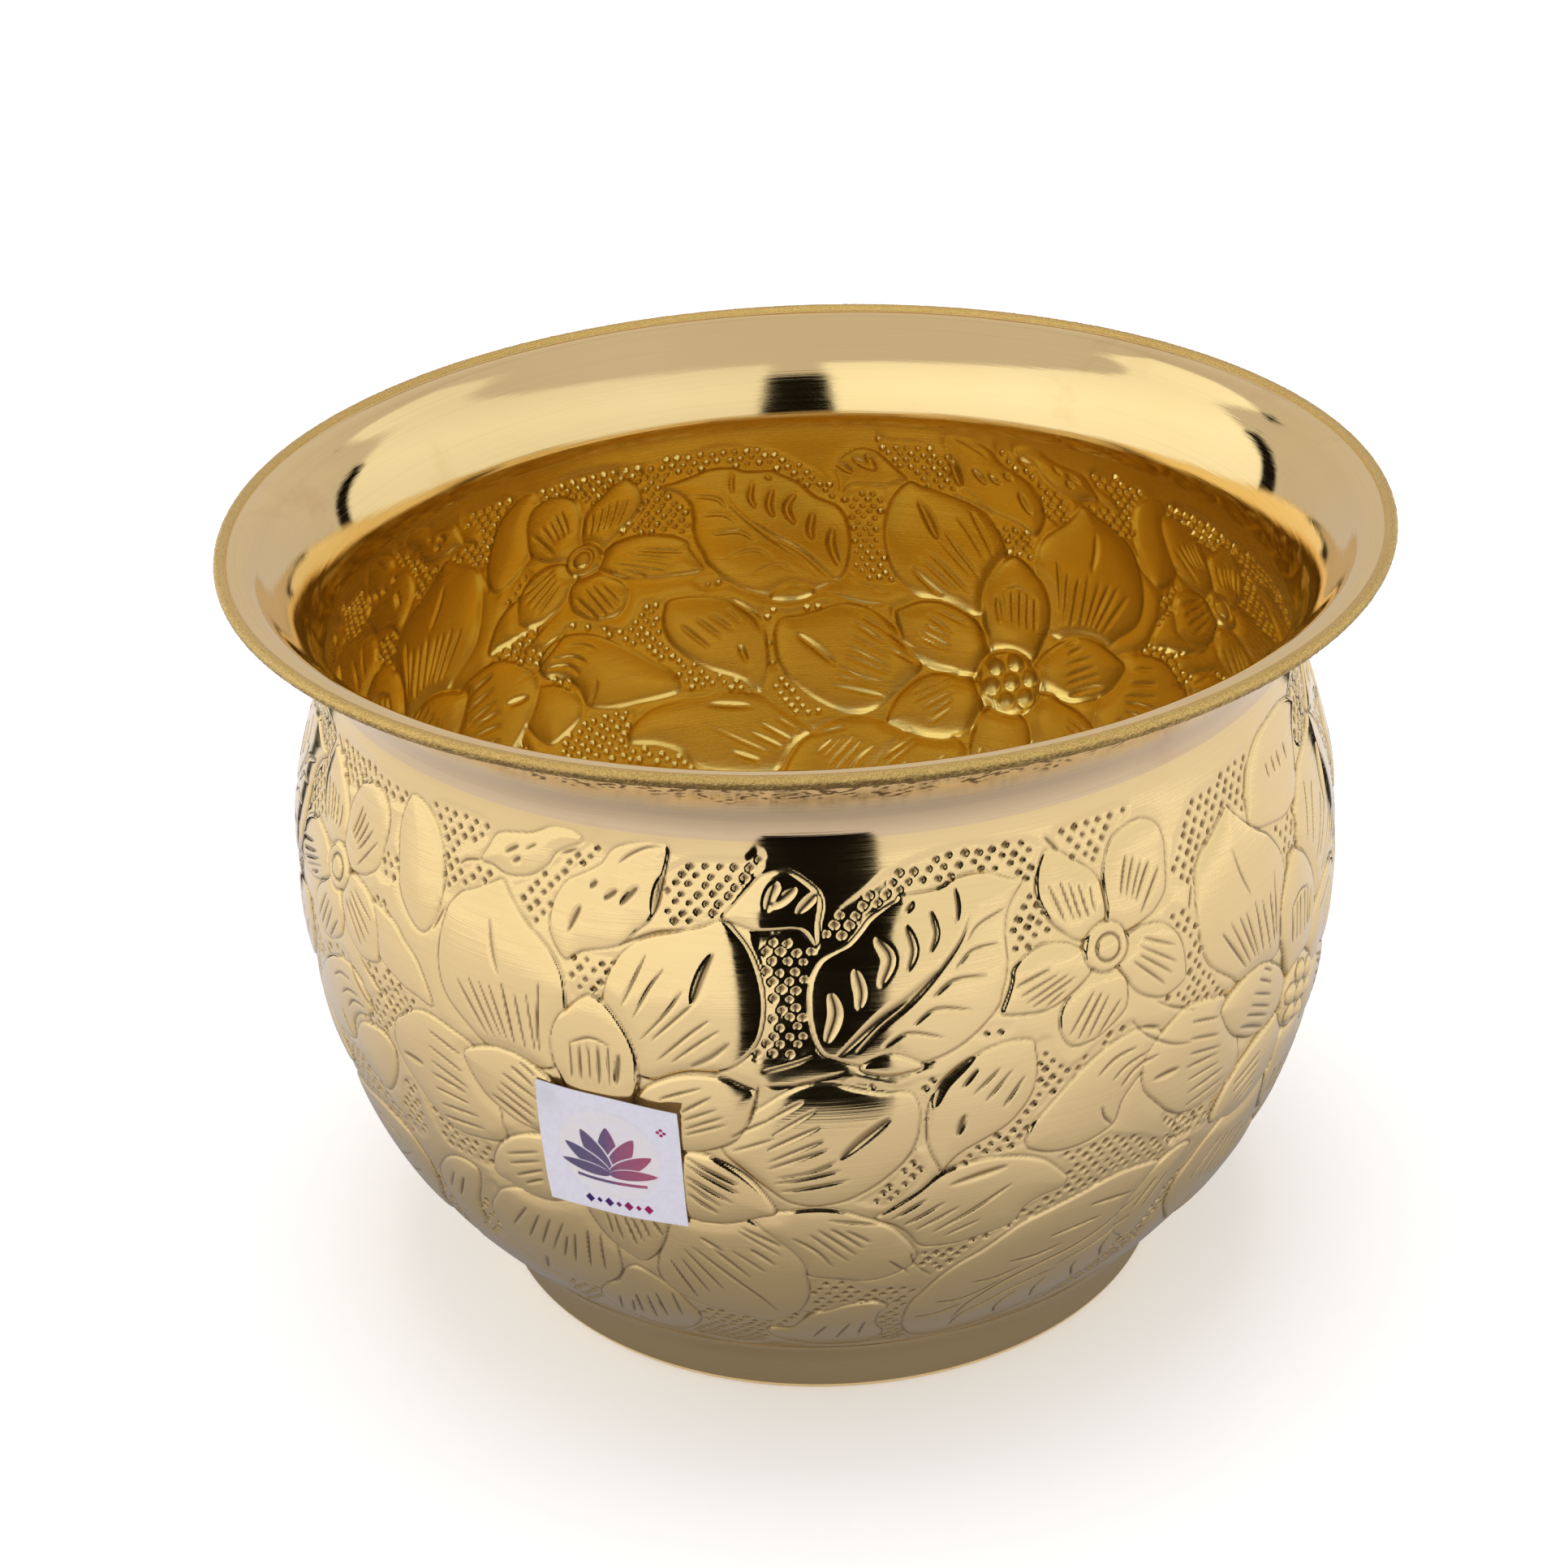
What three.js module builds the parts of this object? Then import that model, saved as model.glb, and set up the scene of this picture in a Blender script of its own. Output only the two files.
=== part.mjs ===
// Brass urli bowl: a deep spun and chased brass bowl with a flared, hemmed rim,
// standing on a short brazed foot ring, with a small square sticker and its
// round clear seal on the belly.
// Millimetres, +Z up. Origin: centre of the foot's underside, on the ground.
import * as THREE from 'three';

// ---- driving dimensions (mm) ------------------------------------------------
const U = 1.016;              // one hundredth of the rim radius
const RIM_RADIUS = 100 * U;   // outer radius over the hemmed edge, 203 mm across
const RIM_PLANE = 140.35 * U; // height of the hem's mid-line above the ground
const HEM_RADIUS = 1.12 * U;  // half the thickness of the hemmed edge
const SHEET = 1.2 * U;        // sheet thickness of the bowl
const NECK_RADIUS = 84.3 * U; // narrowest outer radius, under the flare
const BELLY_RADIUS = 92.0 * U;
const FOOT_RADIUS = 61.3 * U; // outer radius of the foot near the ground
const FLOOR_UNDER = 6.45;     // height of the bowl's flat underside
const FLAT_FLOOR_RADIUS = 40; // radius of the flat middle of the floor
const SEGMENTS = 48;          // steps around the lathe
const LABEL_SIDE = 24.8;      // square sticker
const LABEL_TURN = -22.2;     // its middle, degrees round from the front (-Y), towards -X
const LABEL_HEIGHT = 67.9;    // height of its middle above the ground
const LABEL_TILT = -3.2;      // degrees it was stuck on askew
const SEAL_RADIUS = 9.0;      // round clear film over the sticker
const GAP = 0.36;             // clearance between touching pieces

// ---- helpers ------------------------------------------------------------------
// radius and drop below the rim plane, both in hundredths of the rim radius
const at = (r, drop) => new THREE.Vector2(r * U, RIM_PLANE - drop * U);

function resample(points, count) {
  return new THREE.SplineCurve(points).getSpacedPoints(count - 1);
}

function material(color, roughness, metalness, extra = {}) {
  return new THREE.MeshStandardMaterial({ color, roughness, metalness, ...extra });
}

function piece(name, geometry, mat) {
  const mesh = new THREE.Mesh(geometry, mat);
  mesh.name = name;
  return mesh;
}

// turns a profile, given counter-clockwise in (radius, height), about +Z
function turned(profile, segments = SEGMENTS) {
  const g = new THREE.LatheGeometry(profile, segments);
  g.rotateX(Math.PI / 2);
  return g;
}

// offsets an open profile to its left by d
function offset(points, d) {
  return points.map((p, i) => {
    const a = points[Math.max(i - 1, 0)];
    const b = points[Math.min(i + 1, points.length - 1)];
    const t = new THREE.Vector2().subVectors(b, a).normalize();
    return new THREE.Vector2(p.x - t.y * d, p.y + t.x * d);
  });
}

// ---- bowl body ------------------------------------------------------------------
// outer face of the wall, from the flat underside up to the neck
const WALL = [
  at(56, 132.65), at(60, 131.45), at(63, 129.95), at(65.4, 128.3), at(67.6, 126), at(71.2, 122), at(74.5, 118),
  at(77.5, 114), at(80.05, 110), at(84.8, 100), at(88.05, 90), at(90.3, 80), at(91.5, 70), at(92, 60),
  at(91.7, 52), at(91, 46), at(89.65, 40), at(87.4, 32), at(85.3, 24), at(84.45, 20), at(84.3, 17.6),
];
// underside of the flare, from the neck out to the hem
const FLARE = [
  at(84.3, 17.6), at(84.75, 15), at(86.1, 11.6), at(88.1, 8.1), at(90.7, 5.1), at(93.2, 3.2), at(95.8, 1.75), at(98.3, 0.95),
];

const wall = resample(WALL, 14);
const flare = resample(FLARE, 8);
const outer = [...wall, ...flare.slice(1)];
const inner = offset(outer, SHEET).reverse();
const hem = [-60, 0, 60, 120].map((deg) => {
  const a = THREE.MathUtils.degToRad(deg);
  return new THREE.Vector2(
    RIM_RADIUS - HEM_RADIUS + HEM_RADIUS * Math.cos(a),
    RIM_PLANE + HEM_RADIUS * Math.sin(a),
  );
});
const bowlProfile = [
  new THREE.Vector2(0, FLOOR_UNDER),
  new THREE.Vector2(FLAT_FLOOR_RADIUS, FLOOR_UNDER),
  at(50, 133.6),
  ...outer,
  ...hem,
  ...inner,
  new THREE.Vector2(50 * U, RIM_PLANE - (133.6 - 1.2) * U),
  new THREE.Vector2(FLAT_FLOOR_RADIUS, FLOOR_UNDER + SHEET),
  new THREE.Vector2(0, FLOOR_UNDER + SHEET),
];

// ---- foot ring ------------------------------------------------------------------
// a short spun ring: a cove under the bowl, then an almost upright wall
const footProfile = [
  at(65.55, 128.95), at(63.2, 130.45), at(61.5, 131.4), at(60.55, 132.3), at(59.9, 134), at(59.4, 136.6),
  at(59.0, 139.6), new THREE.Vector2(59.4 * U, 0), new THREE.Vector2(60.8 * U, 0), at(61.3, 139.6),
  at(61.7, 137.2), at(62.35, 134.6), at(63.2, 132.2), at(64.3, 130.35), at(65.55, 128.95),
];

// ---- braze seam inside the foot -------------------------------------------------
const brazeProfile = [
  at(59.85, 132.1), at(59.2, 134.7), at(58.6, 133.55), at(57.3, 132.95), at(59.85, 132.1),
].reverse();

// ---- sticker and seal -------------------------------------------------------------
// outer radius of the wall at a height
function wallRadius(z) {
  for (let i = 1; i < outer.length; i += 1) {
    const a = outer[i - 1];
    const b = outer[i];
    if (z >= a.y && z <= b.y) return a.x + ((b.x - a.x) * (z - a.y)) / (b.y - a.y);
  }
  return BELLY_RADIUS;
}

// closed thin patch bent over the wall: rings of points from the middle outwards
function patch(ringAt, rings, around, lift, thickness) {
  const tilt = THREE.MathUtils.degToRad(LABEL_TILT);
  const onWall = (u, v, h) => {
    const x = u * Math.cos(tilt) - v * Math.sin(tilt);
    const y = u * Math.sin(tilt) + v * Math.cos(tilt);
    const z = LABEL_HEIGHT + y;
    const r = wallRadius(z) + h;
    const a = THREE.MathUtils.degToRad(-90 + LABEL_TURN) + x / wallRadius(LABEL_HEIGHT);
    return [r * Math.cos(a), r * Math.sin(a), z];
  };
  const verts = [];
  for (const h of [lift, lift + thickness]) {
    verts.push(...onWall(0, 0, h));
    for (let k = 1; k <= rings; k += 1) {
      for (let j = 0; j < around; j += 1) {
        const [u, v] = ringAt(j / around);
        verts.push(...onWall((u * k) / rings, (v * k) / rings, h));
      }
    }
  }
  const layer = 1 + rings * around;
  const id = (l, k, j) => l * layer + (k === 0 ? 0 : 1 + (k - 1) * around + (j % around));
  const tris = [];
  for (let j = 0; j < around; j += 1) {
    tris.push(id(1, 0, 0), id(1, 1, j), id(1, 1, j + 1), id(0, 0, 0), id(0, 1, j + 1), id(0, 1, j));
    for (let k = 1; k < rings; k += 1) {
      tris.push(id(1, k, j), id(1, k + 1, j), id(1, k + 1, j + 1), id(1, k, j), id(1, k + 1, j + 1), id(1, k, j + 1));
      tris.push(id(0, k, j), id(0, k + 1, j + 1), id(0, k + 1, j), id(0, k, j), id(0, k, j + 1), id(0, k + 1, j + 1));
    }
    tris.push(id(0, rings, j), id(0, rings, j + 1), id(1, rings, j + 1), id(0, rings, j), id(1, rings, j + 1), id(1, rings, j));
  }
  const g = new THREE.BufferGeometry();
  g.setAttribute('position', new THREE.Float32BufferAttribute(verts, 3));
  g.setIndex(tris);
  g.computeVertexNormals();
  return g;
}

const square = (t) => {
  const s = LABEL_SIDE / 2;
  const q = (t * 4) % 4;
  if (q < 1) return [s, s * (2 * q - 1)];
  if (q < 2) return [s * (1 - 2 * (q - 1)), s];
  if (q < 3) return [-s, s * (1 - 2 * (q - 2))];
  return [s * (2 * (q - 3) - 1), -s];
};
const round = (t) => [SEAL_RADIUS * Math.cos(2 * Math.PI * t), SEAL_RADIUS * Math.sin(2 * Math.PI * t)];

// ---- the object ---------------------------------------------------------------------
const urli = new THREE.Group();
urli.add(
  piece('bowl_body', turned(bowlProfile), material(0xd9b462, 0.22, 1)),
  piece('foot_ring', turned(footProfile), material(0xb79a5e, 0.42, 1)),
  piece('braze_seam', turned(brazeProfile), material(0xa8925c, 0.55, 1)),
  piece('label', patch(square, 3, 16, GAP, 0.3), material(0xe9e8ee, 0.35, 0)),
  piece('label_seal', patch(round, 2, 20, GAP + 0.3 + GAP, 0.2), material(0xdfe0ea, 0.12, 0, { transparent: true, opacity: 0.35 })),
);

export default urli;
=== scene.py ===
import math

import bpy
import numpy as np
from mathutils import Matrix, Vector


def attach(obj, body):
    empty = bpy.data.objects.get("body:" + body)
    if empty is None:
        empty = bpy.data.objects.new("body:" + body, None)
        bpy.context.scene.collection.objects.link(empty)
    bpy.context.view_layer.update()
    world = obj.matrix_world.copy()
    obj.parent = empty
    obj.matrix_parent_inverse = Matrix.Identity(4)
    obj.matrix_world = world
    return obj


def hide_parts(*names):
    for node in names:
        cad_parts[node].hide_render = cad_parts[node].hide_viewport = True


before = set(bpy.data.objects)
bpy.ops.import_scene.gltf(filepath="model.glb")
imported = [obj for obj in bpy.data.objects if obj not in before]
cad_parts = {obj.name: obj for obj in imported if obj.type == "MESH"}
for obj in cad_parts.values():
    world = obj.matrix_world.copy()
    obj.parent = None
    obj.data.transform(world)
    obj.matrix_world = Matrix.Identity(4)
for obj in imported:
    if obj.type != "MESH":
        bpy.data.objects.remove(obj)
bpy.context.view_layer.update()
scene = bpy.context.scene

# ---- sizes, in mm, as in the CAD model ------------------------------------------------------------------------
U = 1.016
RIM_PLANE = 140.35 * U
RIM_RADIUS = 100 * U
HEM = 1.12 * U
SHEET = 1.2 * U
FLOOR_UNDER = 6.45
FLAT_FLOOR = 40.0
LABEL_SIDE = 24.8
LABEL_TURN = -22.2
LABEL_HEIGHT = 67.9
LABEL_TILT = -1.4
SEAL_RADIUS = 9.0
COLUMNS = 1920  # steps round the chased wall

# outer face in hundredths of the rim radius: (radius, drop below the rim plane)
WALL = [(56, 132.65), (60, 131.45), (63, 129.95), (65.4, 128.3), (67.6, 126), (71.2, 122), (74.5, 118), (77.5, 114),
        (80.05, 110), (84.8, 100), (88.05, 90), (90.3, 80), (91.5, 70), (92, 60), (91.7, 52), (91, 46), (89.65, 40),
        (87.4, 32), (85.3, 24), (84.45, 20), (84.3, 17.6)]
FLARE = [(84.75, 15), (86.1, 11.6), (88.1, 8.1), (90.7, 5.1), (93.2, 3.2), (95.8, 1.75), (98.3, 0.95)]

rng = np.random.RandomState(20240611)


# ---- small maths ------------------------------------------------------------------------------------------------
def spline(t, y):
    """Natural cubic spline through (t, y), returned as a function."""
    t, y = np.asarray(t, float), np.asarray(y, float)
    n, h = len(t), np.diff(t)
    a, b = np.zeros((n, n)), np.zeros(n)
    a[0, 0] = a[-1, -1] = 1
    for i in range(1, n - 1):
        a[i, i - 1], a[i, i], a[i, i + 1] = h[i - 1], 2 * (h[i - 1] + h[i]), h[i]
        b[i] = 6 * ((y[i + 1] - y[i]) / h[i] - (y[i] - y[i - 1]) / h[i - 1])
    m = np.linalg.solve(a, b)

    def f(q):
        q = np.asarray(q, float)
        i = np.clip(np.searchsorted(t, q) - 1, 0, n - 2)
        u, v = t[i + 1] - q, q - t[i]
        return (m[i] * u**3 + m[i + 1] * v**3) / (6 * h[i]) + (y[i] / h[i] - m[i] * h[i] / 6) * u + (
            y[i + 1] / h[i] - m[i + 1] * h[i] / 6) * v

    return f


def smooth(x):
    x = np.clip(x, 0, 1)
    return x * x * (3 - 2 * x)


def rounded(points, closed=False, steps=4):
    """Catmull-Rom through the points, so that a traced line has no corners."""
    p = np.asarray(points, float)
    if len(p) < 3 and not closed:
        t = np.linspace(0, 1, steps + 1)[:, None]
        return p[0] * (1 - t) + p[1] * t
    q = np.vstack([p[-1], p, p[:2]]) if closed else np.vstack([2 * p[0] - p[1], p, 2 * p[-1] - p[-2]])
    out = []
    for i in range(1, len(q) - 2):
        for k in range(steps):
            t = k / steps
            out.append(0.5 * ((2 * q[i]) + (q[i + 1] - q[i - 1]) * t + (2 * q[i - 1] - 5 * q[i] + 4 * q[i + 1] - q[i + 2]) * t * t
                              + (3 * q[i] - q[i - 1] - 3 * q[i + 1] + q[i + 2]) * t**3))
    if not closed:
        out.append(p[-1])
    return np.array(out)


# ---- the wall's profile: s is mm along the outer face, down from the neck ----------------------------------------
knots = np.array(WALL + FLARE) * U
knots[:, 1] = RIM_PLANE - knots[:, 1]
chord = np.concatenate([[0], np.cumsum(np.hypot(*np.diff(knots, axis=0).T))])
f_r, f_z = spline(chord, knots[:, 0]), spline(chord, knots[:, 1])
q = np.linspace(0, chord[-1], 9000)
pr, pz = f_r(q), f_z(q)
arc = np.concatenate([[0], np.cumsum(np.hypot(np.diff(pr), np.diff(pz)))])
ps = np.interp(chord[len(WALL) - 1], q, arc) - arc  # mm below the neck; negative on the flare
tr, tz = np.gradient(pr, arc), np.gradient(pz, arc)
pn = np.stack([tz, -tr], 1)
pn /= np.linalg.norm(pn, axis=1)[:, None]


def profile(s):
    """radius, height, and outward normal (radial, up) of the outer face at s."""
    s = np.asarray(s, float)
    g = lambda a: np.interp(s, ps[::-1], a[::-1])
    return g(pr), g(pz), g(pn[:, 0]), g(pn[:, 1])


# ---- the chased relief, drawn on a canvas of (angle, s) -----------------------------------------------------------
# Angles are degrees from the front (-Y) towards +X. Heights are mm, outwards.
CW = 2 * COLUMNS
DT = 360.0 / CW
S0, S1, DS = -2.0, 120.0, 0.15
CH = int(round((S1 - S0) / DS)) + 1
canvas = np.zeros((CH, CW), np.float32)
cuts = np.zeros((CH, CW), np.float32)  # chased lines
dots = np.zeros((CH, CW), np.float32)  # the punch marks, kept apart because they show more inside
HW = 1.60  # mm per degree, near enough for stating widths


class Patch:
    """The part of the canvas round some points, with distances in mm."""

    def __init__(self, pts, margin):
        pts = np.asarray(pts, float)
        self.k = float(np.interp(np.clip(pts[:, 1].mean(), 0, 119), ps[::-1], pr[::-1])) * math.pi / 180
        m = margin / self.k
        j0, j1 = int(math.floor((pts[:, 0].min() - m) / DT)), int(math.ceil((pts[:, 0].max() + m) / DT)) + 1
        i0 = max(0, int(math.floor((pts[:, 1].min() - margin - S0) / DS)))
        i1 = min(CH, int(math.ceil((pts[:, 1].max() + margin - S0) / DS)) + 1)
        self.rows, self.cols = slice(i0, max(i1, i0)), np.arange(j0, j1) % CW
        self.x = (np.arange(j0, j1) * DT * self.k)[None, :]
        self.y = (S0 + np.arange(i0, max(i1, i0)) * DS)[:, None]
        self.empty = i1 <= i0

    def mm(self, pts):
        return np.asarray(pts, float) * [self.k, 1.0]

    def get(self, field=None):
        return (canvas if field is None else field)[self.rows][:, self.cols]

    def add(self, h, field=None):
        a = (canvas if field is None else field)[self.rows]
        a[:, self.cols] += h.astype(np.float32)

    def set(self, h, field=None):
        a = (canvas if field is None else field)[self.rows]
        a[:, self.cols] = h.astype(np.float32)


def to_segments(x, y, p, closed=False):
    """distance to a polyline, and how far along it (0..1) the nearest point is."""
    if closed:
        p = np.vstack([p, p[:1]])
    d = np.hypot(*np.diff(p, axis=0).T)
    run = np.concatenate([[0], np.cumsum(d)])
    best = np.full(np.broadcast(x, y).shape, 1e9)
    along = np.zeros_like(best)
    for i in range(len(p) - 1):
        if d[i] < 1e-9:
            continue
        ax, ay = p[i]
        ux, uy = (p[i + 1] - p[i]) / d[i]
        t = np.clip((x - ax) * ux + (y - ay) * uy, 0, d[i])
        dd = (x - ax - t * ux) ** 2 + (y - ay - t * uy) ** 2
        near = dd < best
        best = np.where(near, dd, best)
        along = np.where(near, run[i] + t, along)
    return np.sqrt(best), along / max(run[-1], 1e-9)


def inside(x, y, p):
    r = np.zeros(np.broadcast(x, y).shape, bool)
    for (ax, ay), (bx, by) in zip(p, np.roll(p, -1, axis=0)):
        if ay != by:
            r ^= ((ay > y) != (by > y)) & (x < (bx - ax) * (y - ay) / (by - ay) + ax)
    return r


def shape(pts, high=0.38, reach=2.9, shoulder=0.13, shoulder_reach=1.5, line=0.29, line_w=0.2, keep=0.0):
    """A petal or leaf: clears what lies under it, swells up, presses the ground round it and is outlined."""
    c = rounded(pts, closed=True, steps=3)
    w = Patch(c, 5.0)
    if w.empty:
        return
    p = w.mm(c)
    d, _ = to_segments(w.x, w.y, p, closed=True)
    into = inside(w.x, w.y, p)
    h = w.get().astype(float)
    h = np.where(into, h * (1 - (1 - keep) * smooth(d / 0.35)), h)
    h += np.where(into, high * (1 - np.exp(-d / reach)), -shoulder * np.exp(-((d / shoulder_reach) ** 2)) * smooth(1.25 - d / 4))
    h -= line * np.exp(-((d / line_w) ** 2))
    w.set(h)
    w.set(np.where(into, w.get(dots) * (1 - smooth(d / 0.3)), w.get(dots)), dots)


def cut(pts, width=0.24, deep=0.22, ends=(0.0, 0.0), closed=False, steps=4, power=2.0, skew=0.5):
    """A chased line. ends are how much of its width is left at the start and the end."""
    c = rounded(pts, closed=closed, steps=steps)
    w = Patch(c, width * 2.6 + 0.3)
    if w.empty:
        return
    d, t = to_segments(w.x, w.y, w.mm(c), closed=closed)
    if closed:
        e = np.ones_like(t)
    else:
        t2 = np.where(t < skew, t / max(skew, 1e-6), (1 - t) / max(1 - skew, 1e-6))
        base = np.where(t < skew, ends[0], ends[1])
        e = base + (1 - base) * np.sqrt(np.clip(t2 * (2 - t2), 0, 1))
    ww = np.maximum(width * e, 0.07)
    w.add(-deep * e * np.exp(-((d / ww) ** power)), cuts)


def drop(pts, width=0.62, deep=0.42, skew=0.5):
    """A broad tapered cut with a steep side and a flat side, like a leaf."""
    cut(pts, width=width, deep=deep, ends=(0.02, 0.02), power=2.6, skew=skew)


def ring(th, s, radius, width=0.3, deep=0.3):
    a = np.linspace(0, 2 * math.pi, 40, endpoint=False)
    k = float(profile(s)[0]) * math.pi / 180
    cut(np.stack([th + radius / k * np.cos(a), s + radius * np.sin(a)], 1), width=width, deep=deep, closed=True, steps=1)


def dome(th, s, radius, high):
    w = Patch([(th, s)], radius * 2.2)
    cx, cy = w.mm([(th, s)])[0]
    d = np.hypot(w.x - cx, w.y - cy) / radius
    w.add(high * np.exp(-(d**2) * 1.2))


def stipple(pts, sink=0.2, pitch=(2.4, 1.52), deep=0.40):
    """Ground pressed a little and set with rows of diamond punch marks."""
    c = rounded(pts, closed=True, steps=2)
    w = Patch(c, 2.0)
    if w.empty:
        return
    p = w.mm(c)
    d, _ = to_segments(w.x, w.y, p, closed=True)
    into = inside(w.x, w.y, p)
    w.add(-sink * np.where(into, smooth(0.5 + d / 1.4), smooth(0.5 - d / 1.4)))
    lo, hi = p.min(0), p.max(0)
    ys = np.arange(lo[1] + 0.3, hi[1], pitch[1])
    lean = rng.uniform(-0.1, 0.1)
    marks = []
    for i, y in enumerate(ys):
        xs = np.arange(lo[0] - 2 + (i % 2) * pitch[0] / 2, hi[0] + 2, pitch[0])
        marks.append(np.stack([xs + lean * (y - lo[1]), np.full_like(xs, y)], 1))
    if not marks:
        return
    marks = np.vstack(marks)
    marks += rng.uniform(-0.24, 0.24, marks.shape)
    ok = inside(marks[:, 0], marks[:, 1], p)
    dist, _ = to_segments(marks[:, 0], marks[:, 1], p, closed=True)
    for (mx, my), k1, k2, k3 in zip(marks[ok & (dist > 0.45)], rng.uniform(0.8, 1.2, 5000), rng.uniform(-0.5, 0.5, 5000), rng.uniform(0.75, 1.15, 5000)):
        m = Patch([(mx / w.k, my)], 1.2)
        if m.empty:
            continue
        x, y = m.x - mx * m.k / w.k, m.y - my
        x, y = x + y * k2 * 0.35, y
        qd = np.abs(x) / (0.74 * k1) + np.abs(y) / (0.72 * k1)
        m.add(-deep * k3 * np.clip((1.08 - qd) * 1.9, 0, 1) * (1 - 0.18 * x / 0.8) + 0.07 * k3 * np.exp(-(((qd - 1.25) / 0.25) ** 2)), dots)


# Four repeats of one design, each set out by where its big flower and its small flower sit.
UNITS = [dict(big=0.0, small=0.0, down=0.0), dict(big=83.7, small=88.9, down=1.5),
         dict(big=175.4, small=179.9, down=3.5), dict(big=267.2, small=268.8, down=1.5)]


def placed(pts, unit):
    p = np.asarray(pts, float).copy()
    k = smooth((p[:, 0] - 17.0) / 8.0)
    p[:, 1] += unit["down"] * smooth((p[:, 1] - 14) / 30) * smooth((118 - p[:, 1]) / 22) * (1 - k)
    p[:, 0] += unit["big"] * (1 - k) + unit["small"] * k
    return p


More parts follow.
